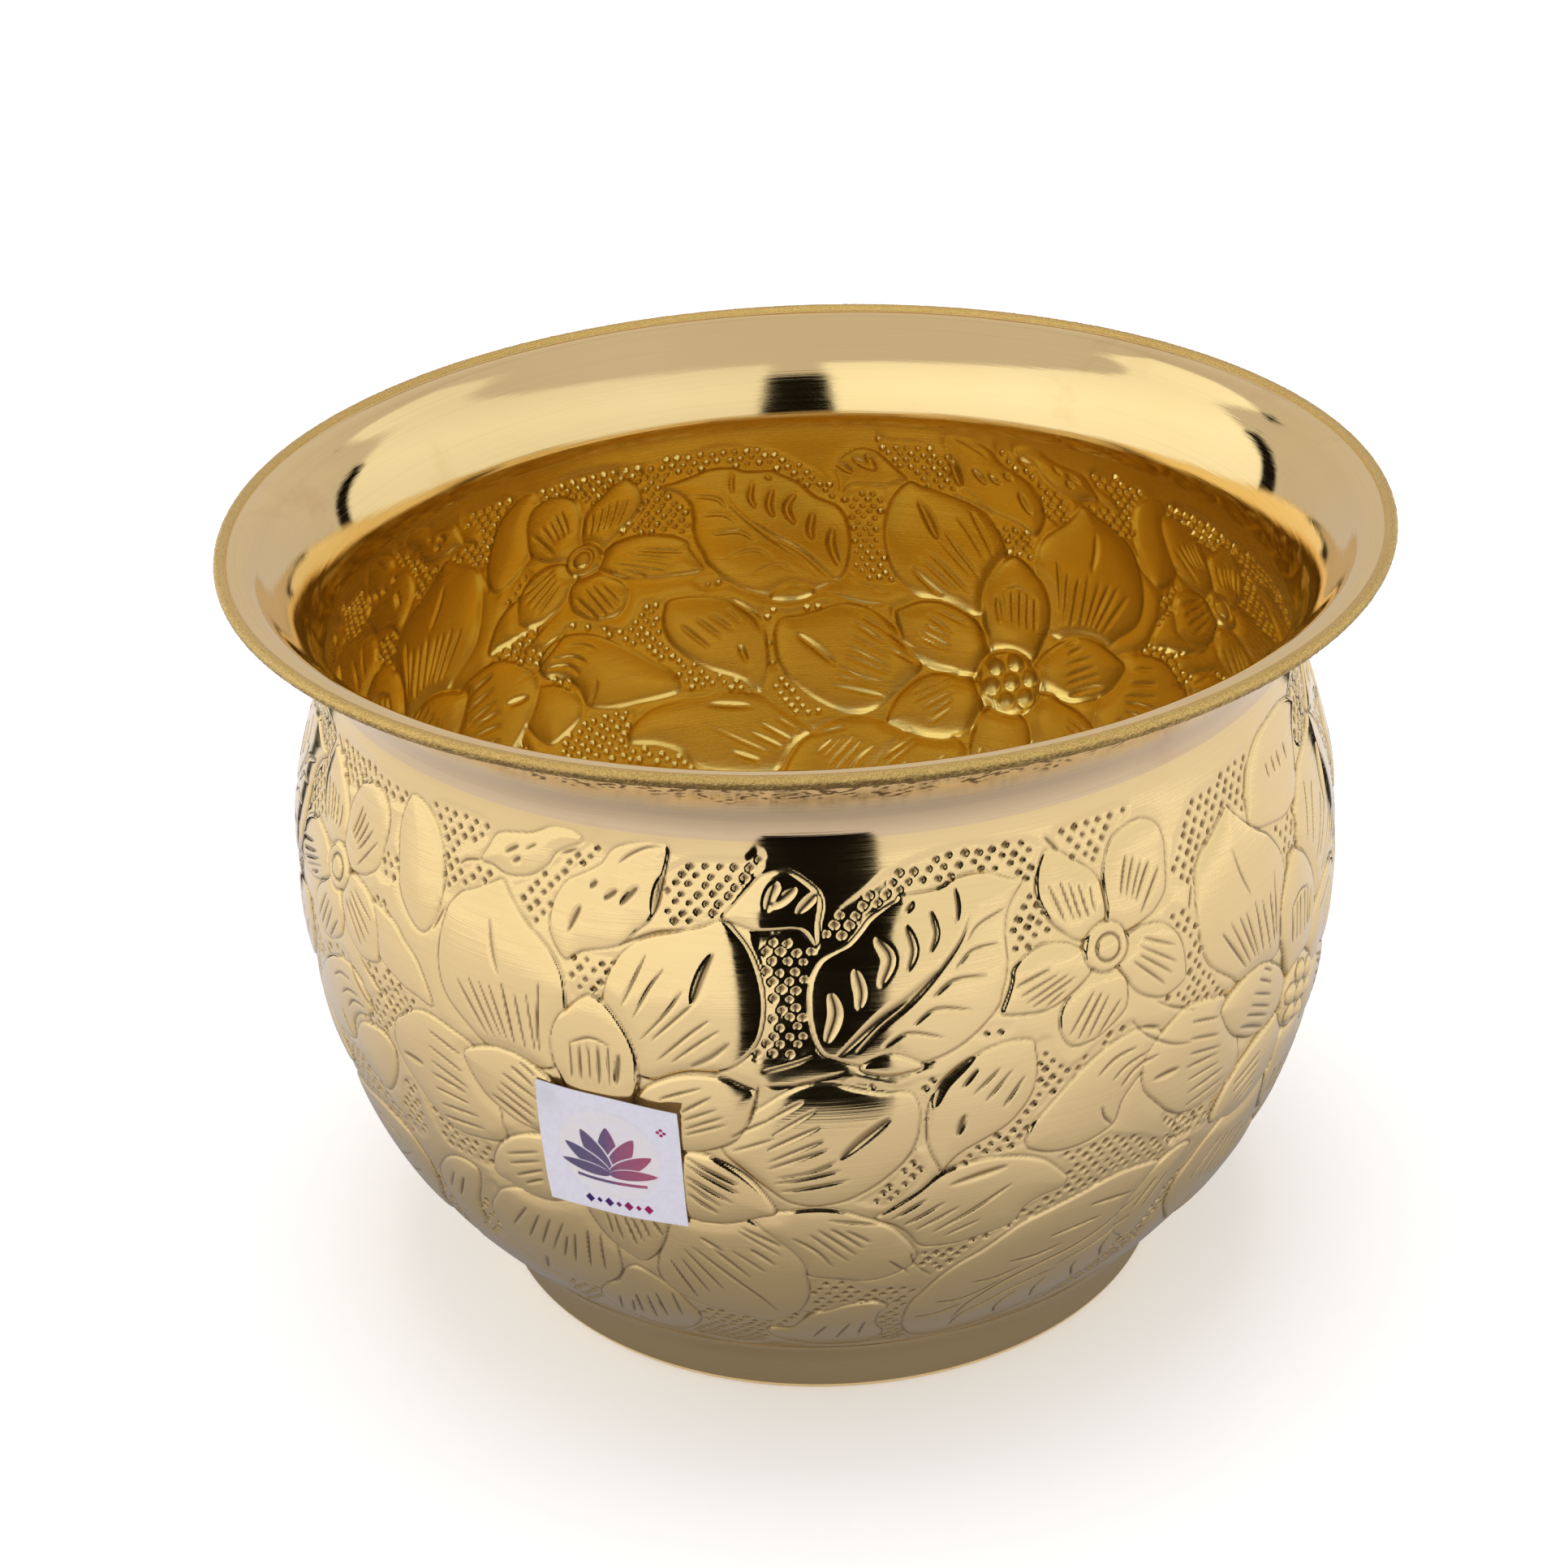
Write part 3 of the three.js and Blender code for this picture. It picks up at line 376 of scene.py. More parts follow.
# thin tapered lines
VEINS = {
    "p1": [[(-39.1, 31.3), (-35.2, 40.2)], [(-37.7, 30.3), (-34.3, 40)], [(-36.3, 30.3), (-33.5, 39.6)], [(-35, 30.2), (-32.8, 40)], [(-33.4, 29.5), (-31.9, 40)], [(-31.9, 30.5), (-30.6, 40.6)], [(-30.4, 30), (-29.5, 40.5)], [(-29, 27.5), (-29.2, 36), (-29, 40)], [(-42, 21), (-43.2, 25.2)]],
    "l1": [[(-40.6, 12.8), (-39.5, 11.5), (-37.5, 10.5)], [(-31.8, 6.6), (-30.5, 5.2)]],
    "l2": [[(-20.8, 5.6), (-19.5, 4), (-17.8, 2.5), (-16, 2)], [(-20.5, 19), (-17.3, 16.5), (-13.5, 15.2)]],
    "p2": [[(-17.6, 19.8), (-18.5, 23.5), (-20, 29)], [(-15.6, 21.6), (-17, 25), (-18.8, 30.5)], [(-12.7, 27), (-14.5, 30), (-17, 34)], [(-13.7, 25), (-15.2, 28.5), (-18.2, 34.3)], [(-11, 29.4), (-13, 32), (-16.5, 37.5)], [(-10, 31), (-12, 33.5), (-15, 37.5)]],
    "i1": [[(-25.6, 36.6), (-23.3, 35.1), (-21, 36)], [(-25.5, 36.5), (-25.4, 43.5)], [(-24.5, 36), (-24.4, 43.5)], [(-23.5, 35.6), (-23.4, 43.5)], [(-22.4, 35.6), (-22.4, 43.5)], [(-21.4, 36), (-21.5, 43.5)]],
    "i2": [[(-32.7, 44.2), (-30, 47)], [(-31.6, 43), (-29.8, 45)], [(-33.8, 46), (-29.8, 49.5)], [(-34.2, 48), (-30, 51.8)], [(-34.8, 49.6), (-30.2, 53.5)]],
    "i3": [[(-35.3, 63.7), (-30.5, 60.5)], [(-35, 65.6), (-30.5, 62.5)], [(-34.4, 68), (-30.5, 64.5)], [(-33.4, 69.3), (-30.8, 66.8)]],
    "i4": [[(-23.8, 71), (-23.7, 76.5)], [(-22.8, 71), (-22.7, 77.5)], [(-21.8, 71), (-21.2, 77.8)], [(-20.9, 71), (-20.2, 77)], [(-19.9, 71), (-19.3, 76)], [(-18.7, 71), (-17.9, 75)]],
    "i5": [[(-14.3, 55.8), (-9, 60.5)], [(-14.3, 57), (-9, 62.5)], [(-14.3, 59.5), (-9.7, 64.5)], [(-14.3, 61), (-11, 65.5)], [(-14.3, 63.2), (-11.3, 67.2)]],
    "i6": [[(-16.5, 44.5), (-12, 41.5)], [(-14.2, 46.5), (-11, 43)], [(-14, 48), (-10.5, 45.2)], [(-14, 49.8), (-10, 46.7)], [(-14, 50.8), (-9.7, 48)], [(-6.5, 41), (-7.6, 48.5)]],
    "p3": [[(-5.7, 47), (-2.2, 43.5)], [(-5.5, 50), (-1.1, 45)], [(-6, 53), (-0.6, 48)], [(-6, 55.5), (-0.2, 50.6)], [(-6, 56.8), (0.3, 52.4)], [(-5.5, 60), (1.2, 57.2)], [(-5, 61.7), (2, 59.3)], [(-9.6, 51), (-5, 46.5)], [(-9.5, 53.7), (-5, 50.5)]],
    "p4": [[(-0.3, 68.4), (5.2, 70.3)], [(-4, 72.5), (-1.5, 76), (0.1, 80.3)], [(-2.3, 71.5), (1.8, 79)], [(-1.3, 70.5), (2.7, 77.3)], [(0, 70.3), (3.4, 75.7)], [(1.5, 71), (4.1, 74.3)], [(6, 79.5), (8.3, 84.3)], [(8.3, 78), (9, 82), (11, 86)]],
    "p5": [[(-17.7, 80.8), (-15.6, 91.5)], [(-16.3, 79.7), (-13.8, 89.5)], [(-15.7, 77), (-12.2, 87.7)], [(-14.8, 76), (-10, 85.5), (-7.8, 90), (-6.4, 94.5)], [(-12.5, 76), (-8.7, 83.5)], [(-10.5, 76), (-7.1, 81.7)], [(-8.5, 75.5), (-6, 79.8)], [(-13.8, 73.5), (-11.5, 76.5)], [(-9.2, 70.3), (-5.2, 75)], [(-9.7, 71), (-5.2, 77.4)]],
    "p6": [[(-43.8, 43.8), (-39.5, 46)], [(-44, 47), (-39.2, 49.5)], [(-44, 50), (-38.8, 52.3)], [(-44.3, 52.5), (-39.2, 53.4)], [(-44, 55.5), (-39, 55.5)], [(-43.5, 58.5), (-38, 57.6)], [(-43.6, 61.3), (-37.5, 60)]],
    "p8": [[(-34.5, 76), (-38.2, 83.5)], [(-33, 76.8), (-36.1, 85.2)], [(-31.5, 77), (-34.6, 86)], [(-30, 77), (-33.3, 87)], [(-30, 80.5), (-31.8, 88)], [(-28.8, 79), (-30.5, 88.3)], [(-27, 77.3), (-28.5, 88.7)], [(-25.6, 77.5), (-26.6, 88.5)]],
    "p7": [[(-44, 76), (-46.5, 83)], [(-45.5, 76), (-48, 82)]],
    "p9": [[(-26.7, 97.5), (-28.5, 105.5)], [(-25, 98), (-26.4, 105)], [(-24, 95), (-24.8, 104)], [(-22.3, 94), (-23.2, 105)], [(-21, 92.5), (-21.2, 103)], [(-19, 92), (-18.8, 101.5)]],
    "v1": [[(14.7, 19), (16, 16.5), (19, 14.8)], [(13.2, 23), (15, 20.5), (17.9, 20)], [(10.8, 27), (13, 24.8), (16.5, 24.8)], [(8.6, 31.3), (11, 29), (14.6, 30)], [(5.6, 34.4), (8, 32.4), (11.7, 34)]],
    "small": [[(24, 13), (25.3, 19.5)], [(25.3, 13), (26.3, 19.5)], [(26.3, 13.4), (27, 19.5)], [(27.4, 14), (27.9, 19.8)], [(28.7, 15), (28.8, 19.8)], [(33.6, 12), (32, 18.2)], [(34.3, 12.8), (32.6, 18.8)], [(35.2, 13.8), (33.3, 19.3)], [(36.3, 14.6), (33.8, 20)], [(37.5, 16), (34, 22.5)], [(34, 26.3), (38.1, 30)], [(33.5, 27.3), (38, 32.7)], [(33.3, 28.8), (37.3, 34.5)], [(32.5, 29.5), (36.3, 35.8)], [(27.6, 32.1), (24.5, 39)], [(28.4, 32.8), (25.5, 40)], [(29.3, 33.5), (26.6, 40.5)], [(30.6, 35), (27.8, 40.7)], [(19.3, 27.8), (23, 26.2)], [(19.6, 29.6), (24, 27.3)], [(20.1, 31), (25, 27.9)], [(20.7, 32), (25.8, 28.6)], [(22.2, 32.5), (24.5, 30.5)]],
    "b1": [[(13.2, 43.8), (15, 40.5)], [(14.3, 45.3), (17.2, 41.3)], [(15.7, 47), (18.5, 42)], [(17.4, 49), (19.8, 43.8)]],
    "b2": [[(28.5, 54.5), (29, 57), (30.2, 59.3)], [(27.9, 48), (30, 45.8), (32.7, 45.1)], [(29.7, 50), (31.5, 48), (34.5, 47)], [(30.8, 52), (32.5, 49.5), (35.5, 48.5)]],
    "q1": [[(6.2, 69.3), (9.8, 65.3)], [(7.5, 71), (11.7, 66.5)], [(8.7, 72.4), (13.2, 68.2)], [(10.5, 73.5), (14.5, 69.8), (18.9, 65.4)], [(11.8, 75), (15.7, 72.3)]],
    "v2": [[(9.8, 100.5), (12.5, 100), (15.2, 97.2)], [(11.7, 95), (15, 95.3), (20, 91)], [(15.3, 89.8), (18.5, 90), (22, 88.2)], [(19.8, 86), (23, 86.3), (26.5, 85)], [(24.5, 82), (31, 81.2)], [(29, 77), (35, 78.2)], [(22.3, 97.5), (20.9, 100.5), (20.6, 104), (21.2, 107.5)], [(26, 95.6), (25, 99), (25.7, 104.3)], [(29.8, 93.3), (29.8, 96.5), (31, 101)], [(33.8, 89.5), (33.2, 92.5), (34.3, 97)], [(15.2, 109), (15.3, 105), (16.3, 101.5), (18.5, 99), (21, 96), (24.5, 94), (27, 93.2)], [(26.5, 91.8), (30, 90.3), (33, 88), (36, 84.8)]],
    "m1": [[(1.9, 100.2), (0, 108.8)], [(-4.7, 110.5), (-5.8, 113.5)], [(-1, 101), (-3, 108)], [(3.6, 100), (2.9, 107)]],
}
# broad tapered cuts, with their widths
DROPS = {
    "p1": [([(-35.5, 19.3), (-34.9, 24), (-33.8, 28.5)], 0.4, 0.24)],
    "l1": [([(-34.4, 8), (-32.6, 6.2)], 0.5, 0.35), ([(-33.3, 9.2), (-32.3, 8)], 0.5, 0.35), ([(-27.7, 6), (-25.5, 4.5)], 0.4, 0.3)],
    "l2": [([(-26.1, 18.2), (-25.5, 16), (-24.8, 13.5)], 0.6, 0.42), ([(-23.9, 10.5), (-23.1, 9)], 0.5, 0.4), ([(-22.3, 12), (-20.8, 10)], 0.55, 0.42), ([(-20.5, 12.5), (-18.6, 9)], 0.6, 0.42), ([(-16.9, 13.2), (-16, 6.8)], 0.75, 0.5)],
    "l3": [([(-5.3, 11.5), (-4.2, 7)], 0.8, 0.45), ([(-4.8, 11), (-2.2, 7.8)], 0.7, 0.42), ([(-2.3, 12), (0, 8.7)], 0.7, 0.42)],
    "p2": [([(-10.6, 18.5), (-11.6, 22), (-12.7, 27)], 0.78, 0.5), ([(-9, 33), (-11, 36), (-13.2, 38.2)], 0.6, 0.36)],
    "i1": [([(-20.3, 37), (-20.7, 43)], 0.6, 0.4)],
    "i2": [([(-35.8, 51.3), (-33.5, 53), (-30.7, 55.5)], 0.5, 0.35)],
    "p3": [([(1, 55), (3.5, 51), (6.2, 47.3)], 0.75, 0.45), ([(-5.5, 58.8), (-2, 57.6), (1, 55)], 0.35, 0.25)],
    "p6": [([(-48.8, 51.8), (-45.3, 51.8)], 0.6, 0.38)],
    "p8": [([(-35, 90), (-36.7, 96)], 0.6, 0.38)],
    "v1": [([(0.2, 33.2), (1.2, 28.5), (0.8, 24.7)], 0.85, 0.5), ([(3.5, 27.8), (3.8, 25), (3.3, 21.2)], 0.7, 0.48), ([(5.7, 24.3), (6.8, 20), (5.5, 16.5)], 0.72, 0.48), ([(8.4, 22.3), (9.1, 19), (8.5, 15)], 0.6, 0.42), ([(10.7, 20), (11.5, 17), (11.1, 13)], 0.45, 0.36), ([(13.7, 16), (14, 13), (13.8, 9.8)], 0.35, 0.28), ([(8.6, 12.9), (9.5, 11.5)], 0.4, 0.3), ([(1, 36.2), (3, 33), (5.5, 29.5), (8.5, 26.5), (11.5, 22.5)], 0.62, 0.4)],
    "small": [([(24.2, 5), (25.8, 8)], 0.45, 0.35)],
    "b1": [([(10.5, 46.5), (11.5, 42.5), (14.5, 38.5)], 0.75, 0.4), ([(12.7, 53), (13.6, 48.8)], 0.6, 0.4)],
    "q1": [([(12, 63), (14.5, 62.2), (18.3, 61.3)], 0.6, 0.38)],
    "p4": [([(-2.8, 83.2), (3, 84.6)], 0.3, 0.2)],
}
MIDRIBS = [[(3.2, 35), (5.5, 31), (8.5, 27.5), (11.5, 23), (14, 18.5), (15.3, 14.3)],
           [(14.8, 104), (15.5, 99.5), (17, 96), (20, 92), (24, 89.5), (28, 87.7), (31, 85.5), (34.5, 82), (37, 79)]]
STEMS = [[(-6, 38.2), (-3, 36.8), (-1, 35.5)], [(-6, 40.8), (-3, 40.7), (0, 39.5), (2, 38.5)],
         [(32, 40), (34, 44), (37, 47.5), (40, 49.3)], [(35.2, 38.3), (37.5, 41), (40.5, 43.5)], [(33.3, 42), (35.7, 43.5)]]
LITTLE = [[(3.3, 38.2), (5.5, 36), (7.5, 36.3), (9.6, 39), (6, 39.8)]]


def chase():
    """Draws the whole wall, the ground first and what overlaps it after."""
    for n, u in enumerate(UNITS):
        for name, pts in STIPPLES.items():
            if n == 1 and name in ("s1", "s2", "s3"):
                continue
            stipple(placed(pts, u))
        if n != 1:
            for pts in STIPPLES_GAP:
                stipple(placed(pts, u))
    for pts in STIPPLES_TIGHT:
        stipple(pts)
    for n, u in enumerate(UNITS):
        if n != 1:
            for pts in LEAVES_GAP:
                shape(placed(pts, u), high=0.32)
        for name, pts in LEAVES.items():
            if n == 1 and name in ("l1", "l2"):
                continue
            if n == 0 and name == "b3":
                continue
            shape(placed(pts, u), high=0.38)
    shape(LEAF_TIGHT, high=0.38)
    for u in UNITS:
        for name, pts in PETALS.items():
            shape(placed(pts, u), high=0.44)
        for name, pts in SMALL.items():
            shape(placed(pts, u), high=0.34, reach=2.0, shoulder=0.12)
        for name, pts in INNER.items():
            shape(placed(pts, u), high=0.56, reach=2.4, shoulder=0.34, shoulder_reach=1.7, line=0.3)
        for pts in LITTLE:
            shape(placed(pts, u), high=0.3, reach=1.0, shoulder=0.15)
    for n, u in enumerate(UNITS):
        for name, lines in VEINS.items():
            if n == 1 and name in ("l1", "l2"):
                continue
            for pts in lines:
                p = placed(pts, u)
                cut(p + rng.uniform(-0.08, 0.08, p.shape), width=0.23 * rng.uniform(0.85, 1.25), deep=0.36 * rng.uniform(0.8, 1.2), ends=(0.25, 0.1), skew=rng.uniform(0.35, 0.65))
        for name, lines in DROPS.items():
            if n == 1 and name in ("l1", "l2"):
                continue
            for pts, wide, deep in lines:
                drop(placed(pts, u), width=wide, deep=deep, skew=0.55)
        for pts in MIDRIBS:
            cut(placed(pts, u), width=0.3, deep=0.3, ends=(0.5, 0.1))
        for pts in STEMS:
            cut(placed(pts, u), width=0.26, deep=0.3, ends=(0.2, 0.2))
    for x in (57.8, 59.4, 60.9, 63.0):
        cut([(x, 10.5), (x + 0.3, 14)], width=0.25, deep=0.28)
    for n, u in enumerate(UNITS):
        th, s = placed([(-22.2, 55.5)], u)[0]
        k = float(profile(s)[0]) * math.pi / 180
        a = np.linspace(0, 2 * math.pi, 36, endpoint=False)
        shape(np.stack([th + 7.1 / k * np.cos(a), s + 7.1 * np.sin(a)], 1), high=0.35, reach=1.0, shoulder=0.3, line=0.42, line_w=0.32)
        for i in range(7):
            b = i * math.pi / 3 + 0.35
            dx, dy = (0, 0) if i == 6 else (4.45 * math.cos(b), 4.45 * math.sin(b))
            dome(th + dx / k, s + dy, 2.0, 0.85)
            ring(th + dx / k, s + dy, 2.05, 0.26, 0.26)
        th, s = placed([(29.6, 25.6)], u)[0]
        a = np.linspace(0, 2 * math.pi, 30, endpoint=False)
        k = float(profile(s)[0]) * math.pi / 180
        shape(np.stack([th + 4.2 / k * np.cos(a), s + 4.2 * np.sin(a)], 1), high=0.3, reach=0.8, shoulder=0.22, line=0.34, line_w=0.28)
        ring(th + 0.15, s + 0.1, 2.25, 0.3, 0.42)
        dome(th + 0.15, s + 0.1, 1.7, 0.2)


chase()


def waves(th, s, amount):
    """Slow unevenness left by the hammer, the same all round (periodic in the angle)."""
    r = np.random.RandomState(5)
    h = np.zeros(np.broadcast(th, s).shape)
    for _ in range(26):
        n, k = r.randint(5, 40), r.uniform(-0.35, 0.35)
        h += r.normal() * np.cos(n * th + k * s + r.uniform(0, 6.28)) / (1 + n / 18)
    return amount * h / 5


rows_s = S0 + np.arange(CH) * DS
fade = smooth((rows_s - 0.2) / 3.0) * smooth((118.6 - rows_s) / 2.5)
th_canvas = np.radians(np.arange(CW) * DT)
canvas *= fade[:, None].astype(np.float32)
dots *= fade[:, None].astype(np.float32)
cuts *= fade[:, None].astype(np.float32)
canvas += (waves(th_canvas[None, :], rows_s[:, None], 0.085) * (0.35 + 0.65 * fade[:, None])).astype(np.float32)

# the sticker bridges the hollows under it: what stands proud there is held down
label_s = float(np.interp(LABEL_HEIGHT, pz[ps > 0], ps[ps > 0]))
label_k = float(profile(label_s)[0]) * math.pi / 180
w = Patch([(LABEL_TURN, label_s)], LABEL_SIDE * 0.75)
under = np.maximum(np.abs(w.x - LABEL_TURN * w.k), np.abs(w.y - label_s))
h = w.get()
w.set(np.where(h > 0.42, 0.42 + (h - 0.42) * smooth((under - 13.2) / 2.5) , h))


def blurred(a, sigma):
    n = int(math.ceil(sigma * 3))
    k = np.exp(-0.5 * (np.arange(-n, n + 1) / sigma) ** 2)
    k /= k.sum()
    out = np.zeros_like(a)
    for i, v in zip(range(-n, n + 1), k):
        out += np.float32(v) * np.roll(a, i, axis=1)
    pad = np.pad(out, ((n, n), (0, 0)), mode="edge")
    out = np.zeros_like(a)
    for i, v in zip(range(2 * n + 1), k):
        out += np.float32(v) * pad[i : i + a.shape[0]]
    return out


total = canvas + cuts + dots
fine = blurred(total, 0.6)
back = blurred(np.where(canvas < 0, canvas * np.float32(0.75), canvas), 2.2) * np.float32(1.6) + blurred(cuts, 1.6) * np.float32(1.8) + blurred(dots, 1.5) * np.float32(1.7)
# darker in the hollows: dirt and polish stay in the cuts narrower than a millimetre and in the punch marks, and the
# outlines get half as much, which is painted shade
marks_only = cuts + dots
hollow = (blurred(marks_only, 3.4) - marks_only) + np.float32(0.5) * (blurred(canvas, 3.4) - canvas)
cavity = np.clip((blurred(np.maximum(hollow, 0), 0.5) - 0.022) / 0.115, 0, 1).astype(np.float32)
# darker in the hollows of the inside relief: painted shade
inside_hollow_shade = np.clip((back - blurred(back, 7.0) - 0.08) / 0.4, 0, 1).astype(np.float32)


def relief(field, s, columns):
    """heights at the rows s, for that many columns."""
    step = CW // columns
    a = field[:, ::step]
    f = np.clip((np.asarray(s) - S0) / DS, 0, CH - 1.001)
    i = f.astype(int)
    t = (f - i)[:, None]
    return a[i] * (1 - t) + a[i + 1] * t


# ---- meshes -------------------------------------------------------------------------------------------------------
def mesh_object(name, verts, faces, smooth_shade=True):
    """faces: list of (n, k) index arrays, k corners each."""
    me = bpy.data.meshes.new(name)
    verts = np.asarray(verts, np.float32).reshape(-1, 3)
    me.vertices.add(len(verts))
    me.vertices.foreach_set("co", verts.ravel())
    faces = [np.asarray(f, np.int32) for f in faces if len(f)]
    loops = np.concatenate([f.ravel() for f in faces])
    totals = np.concatenate([np.full(len(f), f.shape[1], np.int32) for f in faces])
    starts = np.concatenate([[0], np.cumsum(totals)[:-1]]).astype(np.int32)
    me.loops.add(len(loops))
    me.loops.foreach_set("vertex_index", loops)
    me.polygons.add(len(totals))
    me.polygons.foreach_set("loop_start", starts)
    me.polygons.foreach_set("loop_total", totals)
    if smooth_shade:
        me.polygons.foreach_set("use_smooth", np.ones(len(totals), bool))
    me.update(calc_edges=True)
    o = bpy.data.objects.new(name, me)
    scene.collection.objects.link(o)
    return o


def on_ring(r, z, n):
    """points at angle th from -Y towards +X, for radii and heights given per column or as one number (mm)."""
    th = 2 * math.pi * np.arange(n) / n
    r, z = np.broadcast_to(r, (n,)), np.broadcast_to(z, (n,))
    return np.stack([r * np.sin(th), -r * np.cos(th), z], 1) * 0.001


def skin(rings, start_pole=None, end_pole=None, closed=False):
    """Joins rings of equal, doubled or halved counts into faces. Going up the list with the outside on the right."""
    verts, first, count = [], [], []
    total = 0
    for r in rings:
        first.append(total)
        count.append(len(r))
        verts.append(r)
        total += len(r)
    quads, fives, tris, tags = [], [], [], []
    pairs = list(range(len(rings) - 1)) + ([len(rings) - 1] if closed else [])
    for i in pairs:
        j = (i + 1) % len(rings)
        a, b, na, nb = first[i], first[j], count[i], count[j]
        if na == nb:
            c = np.arange(na)
            d = (c + 1) % na
            quads.append(np.stack([a + c, a + d, b + d, b + c], 1))
            tags.append(("q", i, na))
        elif nb == 2 * na:
            c = np.arange(na)
            d = (c + 1) % na
            fives.append(np.stack([a + c, a + d, b + (2 * c + 2) % nb, b + 2 * c + 1, b + 2 * c], 1))
            tags.append(("f", i, na))
        elif na == 2 * nb:
            c = np.arange(nb)
            d = (c + 1) % nb
            fives.append(np.stack([a + 2 * c, a + 2 * c + 1, a + (2 * c + 2) % na, b + d, b + c], 1))
            tags.append(("f", i, nb))
        else:
            raise ValueError("ring counts")
    if start_pole is not None:
        verts.append(np.array([start_pole]))
        c = np.arange(count[0])
        tris.append(np.stack([np.full_like(c, total), first[0] + (c + 1) % count[0], first[0] + c], 1))
        total += 1
    if end_pole is not None:
        verts.append(np.array([end_pole]))
        c = np.arange(count[-1])
        tris.append(np.stack([first[-1] + c, first[-1] + (c + 1) % count[-1], np.full_like(c, total)], 1))
        total += 1
    return np.vstack(verts), quads, fives, tris, tags


N = COLUMNS
rings, ring_kind = [], []  # kind: 0 underside, 1 chased wall, 2 flare underside, 3 hem, 4 flare top, 5 inside wall, 6 floor


ring_cavity = []


# darkening: how much the colour darkens at each point, for dirt and marks and for painted shade
def push(points, kind, darkening=0.0):
    rings.append(points)
    ring_kind.append(kind)
    ring_cavity.append(np.broadcast_to(np.asarray(darkening, np.float32), (len(points),)))


# the underside, from the middle outwards
for r, n in [(0.8, 60), (2.4, 60), (5, 60), (8, 120), (12, 120), (16, 240), (21, 240), (26, 240), (31, 480), (36, 480), (39.4, 480)]:
    push(on_ring(r, FLOOR_UNDER - 0.02 * math.sin(r * 0.9), n), 0)
under = spline([0, 1.2, 11.4, 17.6, 21.9], [FLAT_FLOOR - 0.6, FLAT_FLOOR + 0.6, 50 * U, 56 * U, 60 * U])
under_z = spline([0, 1.2, 11.4, 17.6, 21.9], [FLOOR_UNDER, FLOOR_UNDER + 0.03, RIM_PLANE - 133.6 * U, RIM_PLANE - 132.65 * U, RIM_PLANE - 131.45 * U])
for t, n in zip(np.linspace(0.3, 17.0, 12), [480] * 4 + [960] * 8):
    push(on_ring(under(t), under_z(t), n), 0)
s_foot = float(ps[0])
for s in np.arange(s_foot - 0.4, 119.7, -0.8):
    r, z, nr, nz = profile(s)
    push(on_ring(r, z, 960), 0)
# the chased wall
wall_s = np.arange(119.4, 0.35, -0.3)
H = relief(fine, wall_s, N)
# darkening on the chased wall: dirt in the cuts and marks, painted shade along the outlines
DIRT_AND_SHADE = relief(cavity, wall_s, N)
R, Z, NR, NZ = profile(wall_s)
for i in range(len(wall_s)):
    push(on_ring(R[i] + NR[i] * H[i], Z[i] + NZ[i] * H[i], N), 1, DIRT_AND_SHADE[i])
# the neck and the flare's underside, with the marks that turning the hem left near its edge
end_s = float(ps[-1])
flare_s = np.concatenate([np.arange(0.3, end_s + 18.0, -0.4), np.arange(end_s + 18.0, end_s + 0.3, -0.22)])
th = 2 * math.pi * np.arange(N) / N
mark = np.random.RandomState(11)
ragged = sum(mark.normal() * np.cos(k * th + mark.uniform(0, 6.28)) / (0.6 + k / 60) for k in mark.randint(8, 260, 46))
ragged = ragged / np.abs(ragged).max()
chips = sum(mark.normal() * np.cos(k * th + mark.uniform(0, 6.28)) for k in mark.randint(60, 420, 46))
chips = chips / np.abs(chips).max()
FRONT_TURN = -6.0
s_k = mark.randint(14, 330, 90)
s_a, s_p, s_w = mark.normal(size=90) / (0.5 + s_k / 90.0) ** 0.5, mark.uniform(0, 6.28, 90), mark.uniform(-7.0, 7.0, 90)


def streaks(e):
    """Long thin scrapes: they run round the edge and change quickly across it."""
    q = sum(a_ * np.cos(k_ * th + p_ + w_ * e) for a_, k_, p_, w_ in zip(s_a, s_k, s_p, s_w))
    return q / math.sqrt(0.5 * float((s_a**2).sum()))


turn = (np.degrees(th) - FRONT_TURN + 180.0) % 360.0 - 180.0
front = 0.42 + 0.58 * np.exp(-((turn / 38.0) ** 2)) + 0.3 * np.exp(-(((np.abs(turn) - 150.0) / 30.0) ** 2))
deep_marks = 0.05 + 0.95 * np.exp(-((turn / 40.0) ** 2))
for s in flare_s:
    r, z, nr, nz = profile(s)
    edge = s - end_s  # mm in from the hem
    h = waves(th, s, 0.03)
    darkening = 0.0
    if edge < 17.9:
        step = 2.3 + 0.5 * ragged
        h = h + 0.14 * smooth((step - edge) / 0.35)  # the turned-in edge lies on the underside
        sc = smooth((streaks(edge) - 0.5 - 0.5 * smooth((8.0 - edge) / 3.0)) / 0.4)
        reach_ = smooth((edge - 0.7) / 0.5) * smooth((14.7 + 1.5 * ragged - edge) / 1.6)
        near = float(smooth((4.6 - edge) / 2.0))
        burr = sc * reach_ * (near * front + (1 - near) * deep_marks)
        h = h - 0.05 * burr * smooth((9.0 - edge) / 3.0) + 0.03 * reach_ * smooth((9.0 - edge) / 3.0) * smooth((streaks(edge + 0.35) - 0.9) / 0.5)
        darkening = np.clip(1.9 * burr + 0.8 * np.exp(-(((edge - 0.3) / 0.28) ** 2)) * (0.6 + 0.4 * chips) + 0.35 * np.exp(-(((edge - step) / 0.22) ** 2)) * smooth(0.5 + chips), 0, 1)
    push(on_ring(r + nr * h, z + nz * h, N), 2, darkening)
